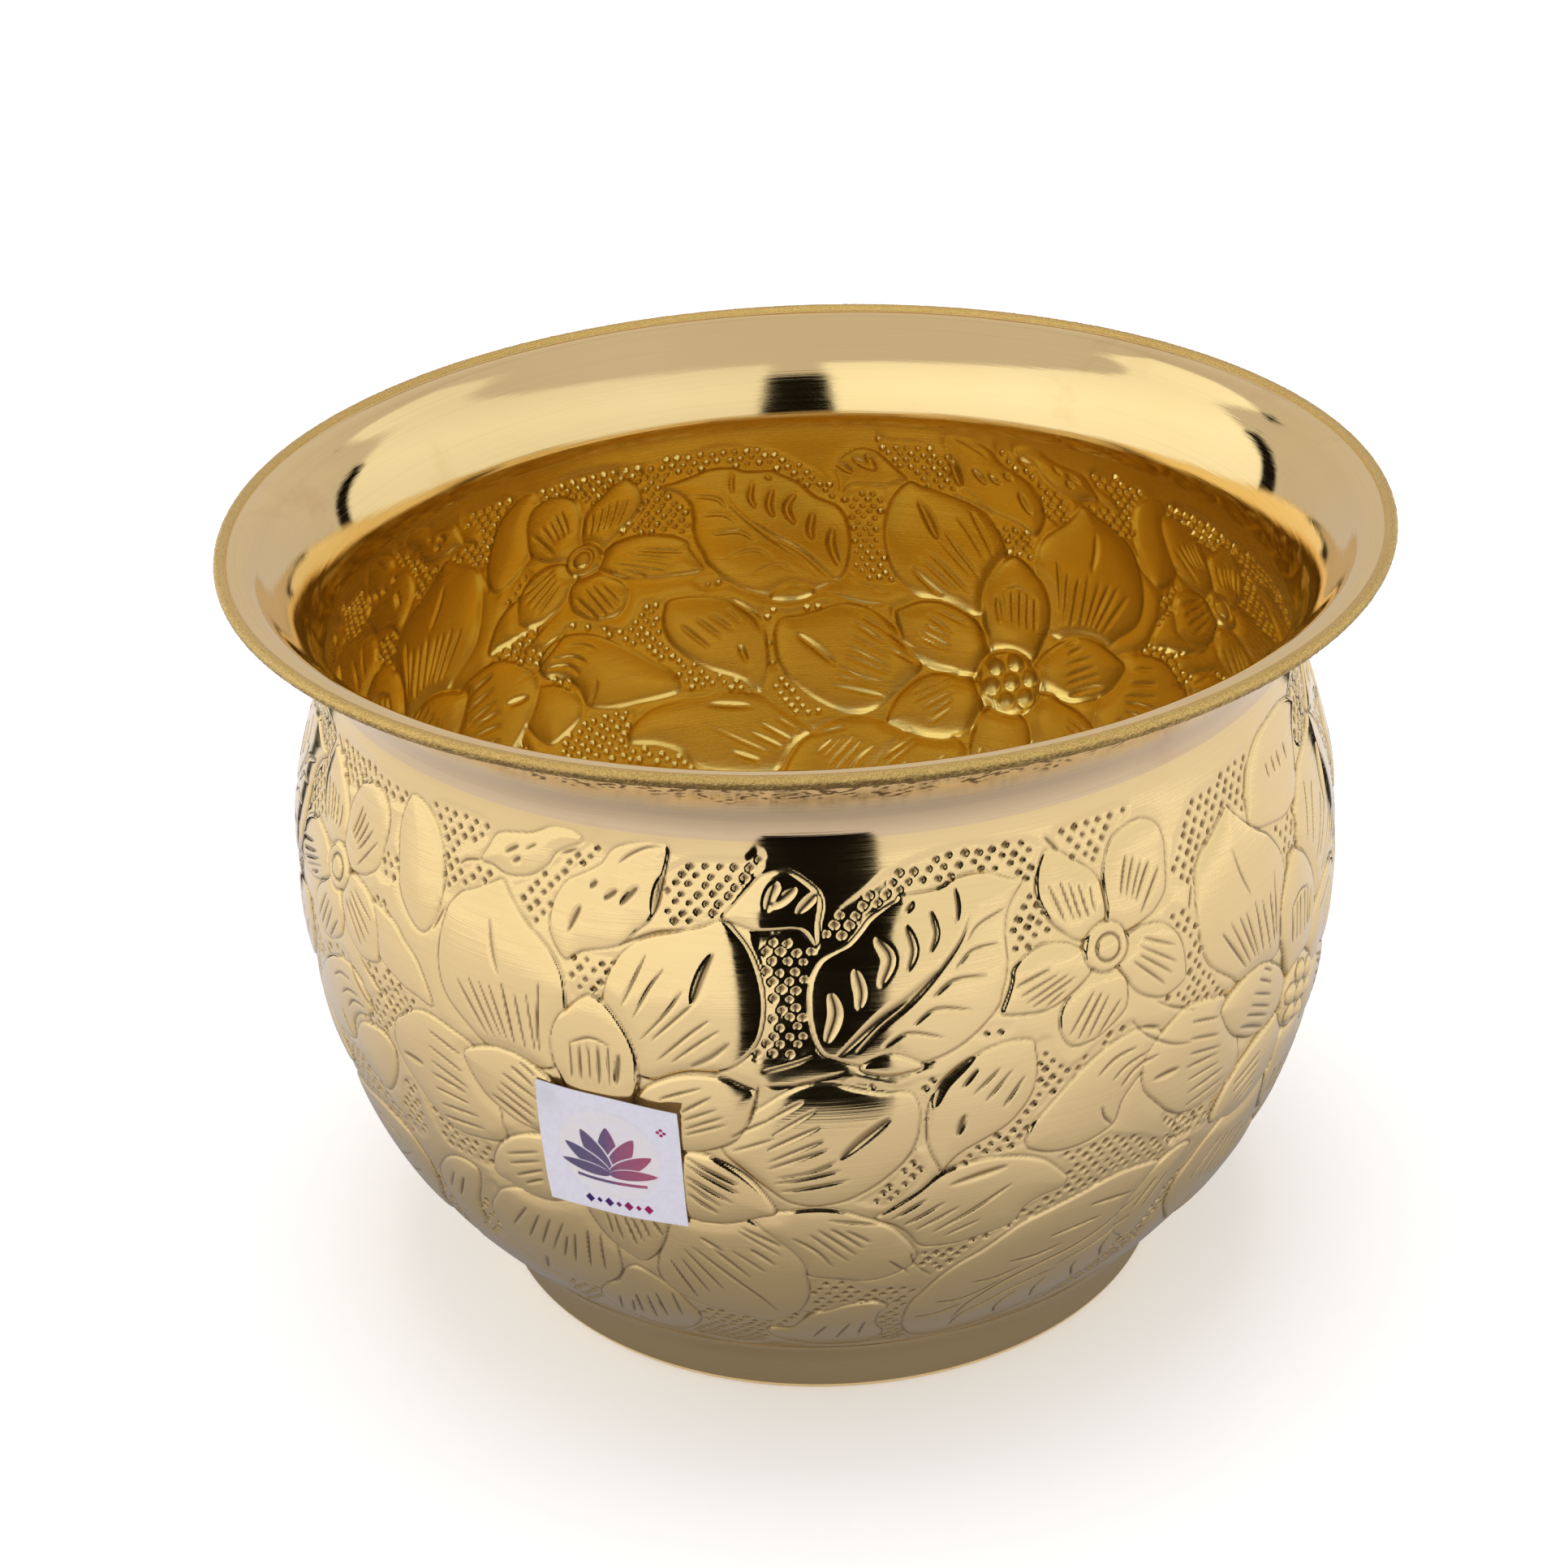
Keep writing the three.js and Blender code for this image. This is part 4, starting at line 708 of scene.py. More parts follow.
# the hem: a bead, a little granular from the file
grain = np.random.RandomState(3)
for deg in np.concatenate([np.linspace(-118, 78, 26), np.linspace(88, 150, 8)]):
    a = math.radians(deg)
    g = 0.03 * grain.normal(size=N) * float(smooth((100.0 - deg) / 25.0))
    g = g + 0.02 * waves(th * 7, deg * 0.3, 1.0)
    rr = HEM + g
    low = float(smooth((34.0 - deg) / 44.0))
    push(on_ring(RIM_RADIUS - HEM + rr * math.cos(a), RIM_PLANE + rr * math.sin(a), N), 3,
         np.clip((0.98 * low + 0.1 * float(smooth((70.0 - deg) / 30.0))) * front + 0.22 * grain.normal(size=N) * (0.5 + low) * float(smooth((95.0 - deg) / 20.0)), 0, 1))
# the flare's top, from the line beside the bead, over the lip's crest and down to the neck
R0, Z0, NR0, NZ0 = profile(np.arange(end_s + 0.2, 0.0, 0.5))
lip_s = np.arange(end_s + 0.2, 0.0, 0.5) - end_s
crest = 0.62 * np.exp(-(((lip_s - 3.0) / 2.4) ** 2)) - 0.12 * np.exp(-((lip_s / 0.7) ** 2))
for i in range(len(R0)):
    h = waves(th, -lip_s[i], 0.035)
    off = SHEET - h * 1.0 + crest[i] - 0.0
    push(on_ring(R0[i] - NR0[i] * off, Z0[i] - NZ0[i] * off, N), 4)
# inside wall
in_s = np.arange(0.3, 119.3, 0.33)
HI = relief(back, in_s, N)
# painted shade in the hollows of the inside wall
DIRT_AND_SHADE = relief(inside_hollow_shade, in_s, N)
R, Z, NR, NZ = profile(in_s)
for i in range(len(in_s)):
    h = HI[i] - SHEET
    push(on_ring(R[i] + NR[i] * h, Z[i] + NZ[i] * h, N), 5, DIRT_AND_SHADE[i])
# floor inside
for s in np.arange(119.9, s_foot - 0.3, 0.8):
    r, z, nr, nz = profile(s)
    push(on_ring(r - nr * SHEET, z - nz * SHEET, 960), 6)
for t, n in zip(np.linspace(17.0, 0.3, 12), [960] * 4 + [480] * 8):
    push(on_ring(under(t), under_z(t) + SHEET, n), 6)
for r, n in [(39.4, 480), (36, 480), (31, 480), (26, 240), (21, 240), (16, 240), (12, 120), (8, 120), (5, 60), (2.4, 60), (0.8, 60)]:
    push(on_ring(r, FLOOR_UNDER + SHEET + 0.02 * math.sin(r * 0.9), n), 6)

verts, quads, fives, tris, tags = skin(rings, (0, 0, (FLOOR_UNDER) * 0.001), (0, 0, (FLOOR_UNDER + SHEET) * 0.001))
bowl = mesh_object("bowl_body_chased", verts, quads + fives + tris)
att = bowl.data.attributes.new("cavity", "FLOAT", "POINT")
att.data.foreach_set("value", np.concatenate(ring_cavity + [np.zeros(2, np.float32)]).astype(np.float32))
kinds = np.array(ring_kind)
slot_of = {0: 3, 1: 0, 2: 5, 3: 4, 4: 2, 5: 1, 6: 1}
order = [t for t in tags if t[0] == "q"] + [t for t in tags if t[0] == "f"]
mats = np.concatenate([np.full(n, slot_of[int(max(kinds[i], 0))], np.int32) for _, i, n in order]
                      + [np.full(60, 3, np.int32), np.full(60, 1, np.int32)])


# ---- foot ring ------------------------------------------------------------------------------------------------------
def lathe(name, prof, n, wobble=0.0, closed=True, seed=1):
    r_ = np.random.RandomState(seed)
    th_ = 2 * math.pi * np.arange(n) / n
    out = []
    for r, z in prof:
        w_ = wobble * sum(r_.normal() * np.cos(k * th_ + r_.uniform(0, 6.28)) for k in r_.randint(2, 70, 6)) / 3 if wobble else 0.0
        out.append(on_ring(r + w_, z, n))
    v, qd, fv, tr_, _ = skin(out, closed=closed)
    return mesh_object(name, v, qd + fv + tr_)


def cad(r, drop):
    return (r * U, RIM_PLANE - drop * U)


def beside_body(s, off):
    r, z, nr, nz = (float(v) for v in profile(s))
    return (r + nr * off, z + nz * off)


outside = [beside_body(118.3, 0.04), beside_body(118.7, 0.16), beside_body(119.6, 0.42), cad(64.9, 129.75), cad(63.75, 131.3), cad(62.85, 133.0), cad(62.2, 135.1), cad(61.75, 137.4)]
outside = rounded(outside, steps=8)
foot_low = [(61.5 * U, 2.0), (61.42 * U, 1.5), (61.3 * U, 1.0), (61.08 * U, 0.55), (60.8 * U, 0.22), (60.4 * U, 0.04), (59.9 * U, 0.0), (59.5 * U, 0.03), (59.25 * U, 0.2), (59.15 * U, 0.5)]
inside_foot = rounded([cad(59.0, 139.2), cad(59.4, 136.6), cad(59.9, 134), cad(60.55, 132.3), cad(61.5, 131.4), cad(63.2, 130.35), cad(64.4, 129.45), beside_body(119.8, 0.05), beside_body(119.0, 0.04)], steps=6)
foot_profile = np.vstack([outside, foot_low, inside_foot])[::-1]
foot = lathe("foot_ring_turned", foot_profile, 720, seed=2)

# ---- braze seam -----------------------------------------------------------------------------------------------------
bp = rounded([cad(59.85, 132.2), cad(59.5, 133.4), cad(59.15, 134.5), cad(58.7, 133.9), cad(58.1, 133.3), cad(57.4, 133.0), cad(58.5, 132.85), cad(59.3, 132.55)], closed=True, steps=3)
bp = bp[::-1] if (np.sum((np.roll(bp[:, 0], -1) - bp[:, 0]) * (np.roll(bp[:, 1], -1) + bp[:, 1])) > 0) else bp
braze = lathe("braze_seam_fillet", bp, 540, wobble=0.09, seed=8)


# ---- sticker and its seal -------------------------------------------------------------------------------------------
tilt = math.radians(LABEL_TILT)


def on_wall(u, v, h):
    """u to the right and v up on the sticker, h off the wall's plain face, all mm, as metres in the frame."""
    x = u * math.cos(tilt) - v * math.sin(tilt)
    y = u * math.sin(tilt) + v * math.cos(tilt)
    z = LABEL_HEIGHT + y
    s = np.interp(z, pz[ps > 0], ps[ps > 0])
    r, _, nr, nz = profile(s)
    a = math.radians(-90 + LABEL_TURN) + x / (label_k * 180 / math.pi)
    rr, zz = r + nr * h, z + nz * h
    return np.stack([rr * np.cos(a), rr * np.sin(a), zz], -1) * 0.001


def curl(u, v):
    """how far the sticker stands off: it bridges the petals and its top right corner has lifted."""
    half = LABEL_SIDE / 2
    corner = np.clip(((u + v) / (2 * half) - 0.36) / 0.64, 0, 1)
    top = np.clip((v / half - 0.72) / 0.28, 0, 1) * np.clip((u / half + 1.0) / 2.0, 0, 1)
    return 0.52 + 1.1 * corner**1.7 + 0.25 * top + 0.05 * np.sin(u * 0.45 + 0.6) * np.sin(v * 0.4 - 0.3)


def sheet_mesh(name, grid, thick, mask=None):
    """A closed thin patch: front and back faces with a wall round the edge. grid: (n, m, 2) of (u, v)."""
    n, m = grid.shape[:2]
    u, v = grid[..., 0], grid[..., 1]
    lift = curl(u, v)
    front = on_wall(u, v, lift + thick[0] + thick[1])
    rear = on_wall(u, v, lift + thick[0])
    idx = np.arange(n * m).reshape(n, m)
    a = np.stack([idx[:-1, :-1], idx[:-1, 1:], idx[1:, 1:], idx[1:, :-1]], -1).reshape(-1, 4)
    b = a[:, ::-1] + n * m
    edge = np.concatenate([idx[0, :], idx[1:, -1], idx[-1, -2::-1], idx[-2:0:-1, 0]])
    e2 = np.roll(edge, -1)
    c = np.stack([e2, edge, edge + n * m, e2 + n * m], -1)
    return mesh_object(name, np.vstack([front.reshape(-1, 3), rear.reshape(-1, 3)]), [a, b, c])


M = 241
lin = np.linspace(-LABEL_SIDE / 2, LABEL_SIDE / 2, M)
gu, gv = np.meshgrid(lin, lin)
label = sheet_mesh("label_sticker", np.stack([gu, gv], -1), (0.0, 0.14))


def soft_edge(d, w=0.09):
    return smooth(0.5 - d / (2 * w))


def petal_field(u, v, cx, cy, angle, length, width):
    """coverage of a pointed petal that starts at (cx, cy) and points along angle."""
    c, s_ = math.cos(angle), math.sin(angle)
    x, y = (u - cx) * c + (v - cy) * s_, -(u - cx) * s_ + (v - cy) * c
    t = np.clip(x / length, 0, 1)
    half = width * np.sqrt(t) * (1 - t) ** 0.75 * 1.9
    return soft_edge(np.where((x > 0) & (x < length), np.abs(y) - half, 1.0))


def emblem(u, v):
    """A plain lotus, and a row of small lozenges under it."""
    ink = np.zeros_like(u)
    for ang, length, width in [(90, 8.2, 1.9), (61, 8.0, 1.7), (119, 8.0, 1.7), (34, 7.7, 1.45), (146, 7.7, 1.45), (9, 7.2, 1.1), (171, 7.2, 1.1)]:
        p = petal_field(u / 1.18, v / 1.18, -0.2, -3.0, math.radians(ang), length, width)
        gap = petal_field(u / 1.18, v / 1.18, -0.2, -3.0, math.radians(ang), length * 1.03, width * 1.22)
        ink = ink * (1 - gap) + p if ang not in (90,) else np.maximum(ink, p)
    line = soft_edge(np.abs(v + 5.2 - 0.012 * u * u) - 0.3) * (np.abs(u) < 6.2)
    ink = np.maximum(ink, line)
    for i in range(7):
        cx = (i - 3) * 1.75 + 0.6
        ink = np.maximum(ink, soft_edge(np.abs(u - cx) + np.abs(v + 9.9) * 0.8 - (0.82 if i % 2 == 0 else 0.5)))
    for k in range(4):
        a = k * math.pi / 2
        ink = np.maximum(ink, soft_edge(np.hypot(u - 9.3 - 0.55 * math.cos(a), v - 7.4 - 0.55 * math.sin(a)) - 0.3))
    return np.clip(ink * 1.8, 0, 1)


def scrolls(u, v):
    h = np.zeros_like(u)
    for side in (1, -1):
        for flip in (1, -1):
            t = np.linspace(0, 1, 26)
            px = flip * (0.4 + 4.9 * t)
            py = side * (6.5 - 0.9 * np.sin(t * 3.1) + 0.5 * np.sin(t * 9))
            for x0, y0, wd in list(zip(px, py, 0.30 - 0.18 * t)):
                h = np.maximum(h, np.exp(-(((u - x0) ** 2 + (v - y0) ** 2) / wd**2)))
            for x0, y0, r0 in [(1.5, 6.7, 0.55), (3.1, 5.7, 0.5), (4.6, 6.2, 0.4)]:
                h = np.maximum(h, np.exp(-(((np.hypot(u - flip * x0, v - side * y0) - r0) / 0.14) ** 2)))
        h = np.maximum(h, np.exp(-(((np.hypot(u, v - side * 6.3) - 0.6) / 0.16) ** 2)))
    return h


ink = emblem(gu, gv).ravel()
att = label.data.attributes.new("ink", "FLOAT", "POINT")
att.data.foreach_set("value", np.concatenate([ink, np.zeros_like(ink)]).astype(np.float32))
att = label.data.attributes.new("across", "FLOAT", "POINT")
att.data.foreach_set("value", np.tile((gu.ravel() / LABEL_SIDE + 0.5), 2).astype(np.float32))
# the embossed scrolls' lines as colour on the paper under the seal: painted shading of the emboss
bossed_label = scrolls(gu, gv).ravel() * (np.hypot(gu + 0.2, gv - 0.4).ravel() < SEAL_RADIUS)
att = label.data.attributes.new("emboss_shading", "FLOAT", "POINT")
att.data.foreach_set("value", np.tile(bossed_label, 2).astype(np.float32))
from_middle = np.hypot(gu + 0.2, gv - 0.4).ravel()
sealed = np.clip((SEAL_RADIUS - from_middle) / 0.15, 0, 1) * (1 - 0.75 * np.exp(-(((from_middle - SEAL_RADIUS + 0.35) / 0.14) ** 2)))
att = label.data.attributes.new("sealed", "FLOAT", "POINT")
att.data.foreach_set("value", np.tile(sealed, 2).astype(np.float32))
smudge = np.exp(-(((gu + 10.6) / 2.2) ** 2) - (((gv - 9.8) / 2.6) ** 2)).ravel()
att = label.data.attributes.new("smudge", "FLOAT", "POINT")
att.data.foreach_set("value", np.tile(smudge, 2).astype(np.float32))

# the seal: a thin round film with scrolls pressed into it above and below the emblem
RS, AS = 90, 288
rad = np.linspace(0.02, 1, RS) * SEAL_RADIUS
ang = 2 * math.pi * np.arange(AS) / AS
su, sv = rad[:, None] * np.cos(ang)[None, :] - 0.2, rad[:, None] * np.sin(ang)[None, :] + 0.4


bossed = scrolls(su, sv)
rim_line = np.exp(-(((np.hypot(su + 0.2, sv - 0.4) - SEAL_RADIUS * 0.955) / 0.13) ** 2))
lift = curl(su, sv) + 0.14 + 0.05
front = on_wall(su, sv, lift + 0.07 + 0.06 * bossed + 0.03 * rim_line)
rear = on_wall(su, sv, lift)
idx = np.arange(RS * AS).reshape(RS, AS)
nx = np.roll(idx, -1, axis=1)
fa = np.stack([idx[:-1], idx[1:], nx[1:], nx[:-1]], -1).reshape(-1, 4)
fb = fa[:, ::-1] + RS * AS
fc = np.stack([idx[-1], idx[-1] + RS * AS, nx[-1] + RS * AS, nx[-1]], -1)
cf, cr_ = 2 * RS * AS, 2 * RS * AS + 1
mid = np.array([-0.2]), np.array([0.4])
lift0 = curl(*mid) + 0.14 + 0.05
pole = np.vstack([on_wall(mid[0], mid[1], lift0 + 0.07), on_wall(mid[0], mid[1], lift0)])
ta = np.stack([np.full(AS, cf), idx[0], nx[0]], -1)
tb = np.stack([np.full(AS, cr_), nx[0] + RS * AS, idx[0] + RS * AS], -1)
seal = mesh_object("label_seal_film", np.vstack([front.reshape(-1, 3), rear.reshape(-1, 3), pole]), [fa, fb, fc, ta, tb])
# darker where the film is embossed, on the scrolls and the rim line: painted shading
att = seal.data.attributes.new("scroll_shading", "FLOAT", "POINT")
val = np.clip(bossed * 0.9 + rim_line * 0.5, 0, 1).ravel()
att.data.foreach_set("value", np.concatenate([val, val * 0, [0, 0]]).astype(np.float32))


# ---- materials ------------------------------------------------------------------------------------------------------
def new_material(name):
    m = bpy.data.materials.new(name)
    m.use_nodes = True
    nt = m.node_tree
    nt.nodes.clear()
    out = nt.nodes.new("ShaderNodeOutputMaterial")
    b = nt.nodes.new("ShaderNodeBsdfPrincipled")
    nt.links.new(b.outputs[0], out.inputs[0])
    return m, nt, b


def node(nt, kind, **values):
    n = nt.nodes.new(kind)
    for k, v in values.items():
        if k.startswith("i_"):
            n.inputs[k[2:].replace("_", " ")].default_value = v
        else:
            setattr(n, k, v)
    return n


def maths(nt, op, a, b=None, c=None, clamp=False):
    n = nt.nodes.new("ShaderNodeMath")
    n.operation = op
    n.use_clamp = clamp
    for i, x in enumerate((a, b, c)):
        if x is None:
            continue
        if isinstance(x, (int, float)):
            n.inputs[i].default_value = x
        else:
            nt.links.new(x, n.inputs[i])
    return n.outputs[0]


def around(nt, along, across):
    """Coordinates that run round the bowl: features are long round it and narrow across. along and across are per metre."""
    tc = node(nt, "ShaderNodeTexCoord")
    sep = node(nt, "ShaderNodeSeparateXYZ")
    nt.links.new(tc.outputs["Object"], sep.inputs[0])
    x, y, z = sep.outputs
    r = maths(nt, "SQRT", maths(nt, "ADD", maths(nt, "MULTIPLY", x, x), maths(nt, "MULTIPLY", y, y)))
    w_ = maths(nt, "MULTIPLY", maths(nt, "ADD", r, z), across)
    comb = node(nt, "ShaderNodeCombineXYZ")
    nt.links.new(maths(nt, "MULTIPLY", x, along), comb.inputs[0])
    nt.links.new(maths(nt, "MULTIPLY", y, along), comb.inputs[1])
    nt.links.new(w_, comb.inputs[2])
    return comb.outputs[0]


def noise(nt, vector, scale, detail=2.0, rough=0.5, distortion=0.0):
    n = node(nt, "ShaderNodeTexNoise")
    n.inputs["Scale"].default_value = scale
    n.inputs["Detail"].default_value = detail
    n.inputs["Roughness"].default_value = rough
    n.inputs["Distortion"].default_value = distortion
    if vector is not None:
        nt.links.new(vector, n.inputs["Vector"])
    return n.outputs["Fac"]


def ramp(nt, fac, stops):
    n = node(nt, "ShaderNodeValToRGB")
    n.color_ramp.elements[0].position, n.color_ramp.elements[0].color = stops[0][0], stops[0][1]
    n.color_ramp.elements[1].position, n.color_ramp.elements[1].color = stops[-1][0], stops[-1][1]
    for p, c in stops[1:-1]:
        e = n.color_ramp.elements.new(p)
        e.color = c
    nt.links.new(fac, n.inputs[0])
    return n.outputs[0]


def remap(nt, value, a, b, c, d):
    n = node(nt, "ShaderNodeMapRange")
    for k, v in zip(("From Min", "From Max", "To Min", "To Max"), (a, b, c, d)):
        n.inputs[k].default_value = v
    nt.links.new(value, n.inputs["Value"])
    return n.outputs["Result"]


def bump(nt, height, strength, distance, under_=None):
    n = node(nt, "ShaderNodeBump")
    n.inputs["Strength"].default_value = strength
    n.inputs["Distance"].default_value = distance
    nt.links.new(height, n.inputs["Height"])
    if under_ is not None:
        nt.links.new(under_, n.inputs["Normal"])
    return n.outputs["Normal"]


def brass(name, light, dark, rough, lines=0.1, spread=0.05, stain=0.12, aniso=0.0, grain=None, cloud=9.0, grime_and_shade=0.0, streak=0.06):
    m, nt, b = new_material(name)
    b.inputs["Metallic"].default_value = 1.0
    tc = node(nt, "ShaderNodeTexCoord")
    obj = tc.outputs["Object"]
    # colour: a slow drift between two brasses, and a few warm stains left by fingers and polish
    slow = noise(nt, obj, cloud, 3.0, 0.55)
    base = ramp(nt, slow, [(0.32, (*dark, 1)), (0.68, (*light, 1))])
    spots = noise(nt, obj, 34.0, 4.0, 0.6, 0.4)
    mask = remap(nt, spots, 0.6, 0.76, 0.0, stain)
    mix = node(nt, "ShaderNodeMix", data_type="RGBA")
    nt.links.new(mask, mix.inputs[0])
    nt.links.new(base, mix.inputs[6])
    mix.inputs[7].default_value = (light[0] * 0.72, light[1] * 0.52, light[2] * 0.34, 1)
    # rings left by the brush, a little darker
    band = noise(nt, around(nt, 11.0, 2100.0), 1.0, 3.0, 0.65)
    streaky = node(nt, "ShaderNodeMix", data_type="RGBA")
    nt.links.new(remap(nt, band, 0.52, 0.75, 0.0, streak * 4), streaky.inputs[0])
    nt.links.new(mix.outputs[2], streaky.inputs[6])
    streaky.inputs[7].default_value = (light[0] * 0.78, light[1] * 0.72, light[2] * 0.62, 1)
    last = streaky
    cav = None
    # the cavity attribute darkens the colour towards dark brown: dirt in the hollows, and painted shade
    if grime_and_shade:
        cav = node(nt, "ShaderNodeAttribute", attribute_name="cavity").outputs["Fac"]
        dirt_and_shade_mix = node(nt, "ShaderNodeMix", data_type="RGBA")
        nt.links.new(maths(nt, "MULTIPLY", cav, grime_and_shade), dirt_and_shade_mix.inputs[0])
        nt.links.new(streaky.outputs[2], dirt_and_shade_mix.inputs[6])
        dirt_and_shade_mix.inputs[7].default_value = (0.17, 0.105, 0.045, 1)
        last = dirt_and_shade_mix
    nt.links.new(last.outputs[2], b.inputs["Base Color"])
    # roughness: brushed rings, smears
    thin = noise(nt, around(nt, 16.0, 5200.0), 1.0, 2.0, 0.6)
    wide = noise(nt, around(nt, 9.0, 900.0), 1.0, 2.0, 0.5)
    smear = noise(nt, obj, 22.0, 3.0, 0.6)
    r1 = remap(nt, thin, 0.3, 0.7, rough - spread, rough + spread)
    r2 = remap(nt, smear, 0.35, 0.7, -spread * 0.6, spread * 0.9)
    rr_ = maths(nt, "ADD", r1, r2, clamp=True)
    if cav is not None:
        rr_ = maths(nt, "ADD", rr_, maths(nt, "MULTIPLY", cav, 0.22), clamp=True)
    nt.links.new(rr_, b.inputs["Roughness"])
    n1 = bump(nt, thin, lines, 0.00012)
    n1 = bump(nt, wide, lines * 0.5, 0.0003, n1)
    if grain:
        gr = noise(nt, obj, grain[0], 2.0, 0.6)
        n1 = bump(nt, gr, grain[1], 0.0003, n1)
        last_b = node(nt, "ShaderNodeMix", data_type="RGBA")
        nt.links.new(remap(nt, gr, 0.45, 0.64, 0.0, 0.5), last_b.inputs[0])
        nt.links.new(last.outputs[2], last_b.inputs[6])
        last_b.inputs[7].default_value = (light[0] * 0.5, light[1] * 0.42, light[2] * 0.3, 1)
        nt.links.new(last_b.outputs[2], b.inputs["Base Color"])
    nt.links.new(n1, b.inputs["Normal"])
    if aniso:
        b.inputs["Anisotropic"].default_value = aniso
        t = node(nt, "ShaderNodeTangent", direction_type="RADIAL", axis="Z")
        nt.links.new(t.outputs[0], b.inputs["Tangent"])
    return m


outer_brass = brass("brass_chased_outside", (0.82, 0.625, 0.315), (0.78, 0.58, 0.277), 0.10, lines=0.14, spread=0.04, stain=0.14, grime_and_shade=0.92)
inner_brass = brass("brass_chased_inside", (0.84, 0.625, 0.185), (0.80, 0.58, 0.155), 0.25, lines=0.16, spread=0.04, stain=0.10, grime_and_shade=0.3)
flare_brass = brass("brass_flare", (0.84, 0.65, 0.33), (0.79, 0.595, 0.275), 0.055, lines=0.06, spread=0.03, stain=0.4, cloud=14.0, grime_and_shade=0.95)
# paler than the other brasses: a painted reflection of the pale table that the lip's underside faces
flare_under_painted_brass = brass("brass_flare_under_painted_light", (0.865, 0.70, 0.455), (0.83, 0.655, 0.405), 0.075, lines=0.09, spread=0.04, stain=0.35, cloud=16.0, grime_and_shade=0.97)
under_brass = brass("brass_underside", (0.66, 0.50, 0.27), (0.56, 0.41, 0.21), 0.42, lines=0.3, spread=0.08, stain=0.3)
hem_brass = brass("brass_hem", (0.84, 0.60, 0.21), (0.78, 0.54, 0.175), 0.25, lines=0.1, spread=0.06, stain=0.15, grain=(4600.0, 0.9), grime_and_shade=1.0)
foot_brass = brass("brass_foot_satin", (0.80, 0.615, 0.325), (0.74, 0.56, 0.28), 0.34, lines=0.35, spread=0.05, stain=0.1)
braze_mat = brass("braze_alloy", (0.60, 0.48, 0.30), (0.44, 0.34, 0.2), 0.5, lines=0.05, spread=0.08, stain=0.4, grain=(900.0, 0.6))
# under the lip the brass is painted paler beside the hem, a painted reflection of the pale table, and a little darker
# at the neck, which is painted shade
nt = flare_under_painted_brass.node_tree
b = next(n for n in nt.nodes if n.type == "BSDF_PRINCIPLED")
raw = b.inputs["Base Color"].links[0].from_socket
sep = node(nt, "ShaderNodeSeparateXYZ")
nt.links.new(node(nt, "ShaderNodeTexCoord").outputs["Object"], sep.inputs[0])
x, y, _ = sep.outputs
rad = maths(nt, "SQRT", maths(nt, "ADD", maths(nt, "MULTIPLY", x, x), maths(nt, "MULTIPLY", y, y)))
neck_painted_shade = node(nt, "ShaderNodeMix", data_type="RGBA", blend_type="MULTIPLY")
nt.links.new(remap(nt, rad, 0.0866, 0.0878, 1.0, 0.0), neck_painted_shade.inputs[0])
nt.links.new(raw, neck_painted_shade.inputs[6])
neck_painted_shade.inputs[7].default_value = (0.82, 0.77, 0.72, 1)
hem_painted_reflection = node(nt, "ShaderNodeMix", data_type="RGBA")
cavity_here = node(nt, "ShaderNodeAttribute", attribute_name="cavity").outputs["Fac"]
near_hem = remap(nt, rad, 0.0886, 0.0905, 0.0, 0.6)
nt.links.new(maths(nt, "MULTIPLY", near_hem, maths(nt, "SUBTRACT", 1.0, cavity_here, clamp=True)), hem_painted_reflection.inputs[0])
nt.links.new(neck_painted_shade.outputs[2], hem_painted_reflection.inputs[6])
hem_painted_reflection.inputs[7].default_value = (0.94, 0.88, 0.80, 1)
nt.links.new(hem_painted_reflection.outputs[2], b.inputs["Base Color"])
for m in (outer_brass, inner_brass, flare_brass, under_brass, hem_brass, flare_under_painted_brass):
    bowl.data.materials.append(m)
bowl.data.polygons.foreach_set("material_index", mats)
foot.data.materials.append(foot_brass)
braze.data.materials.append(braze_mat)

m, nt, b = new_material("label_paper_printed")
ink_a = node(nt, "ShaderNodeAttribute", attribute_name="ink")
across = node(nt, "ShaderNodeAttribute", attribute_name="across")
smud = node(nt, "ShaderNodeAttribute", attribute_name="smudge")
tc = node(nt, "ShaderNodeTexCoord")
paper_noise = noise(nt, tc.outputs["Object"], 900.0, 3.0, 0.6)
paper = ramp(nt, paper_noise, [(0.3, (0.525, 0.51, 0.585, 1)), (0.7, (0.58, 0.565, 0.635, 1))])
greyed = node(nt, "ShaderNodeMix", data_type="RGBA")
nt.links.new(maths(nt, "MULTIPLY", smud.outputs["Fac"], 0.55), greyed.inputs[0])
seal_a = node(nt, "ShaderNodeAttribute", attribute_name="sealed")
warm = node(nt, "ShaderNodeMix", data_type="RGBA")
nt.links.new(maths(nt, "MULTIPLY", seal_a.outputs["Fac"], 0.62), warm.inputs[0])
nt.links.new(paper, warm.inputs[6])
warm.inputs[7].default_value = (0.615, 0.565, 0.56, 1)
nt.links.new(warm.outputs[2], greyed.inputs[6])
greyed.inputs[7].default_value = (0.42, 0.42, 0.46, 1)
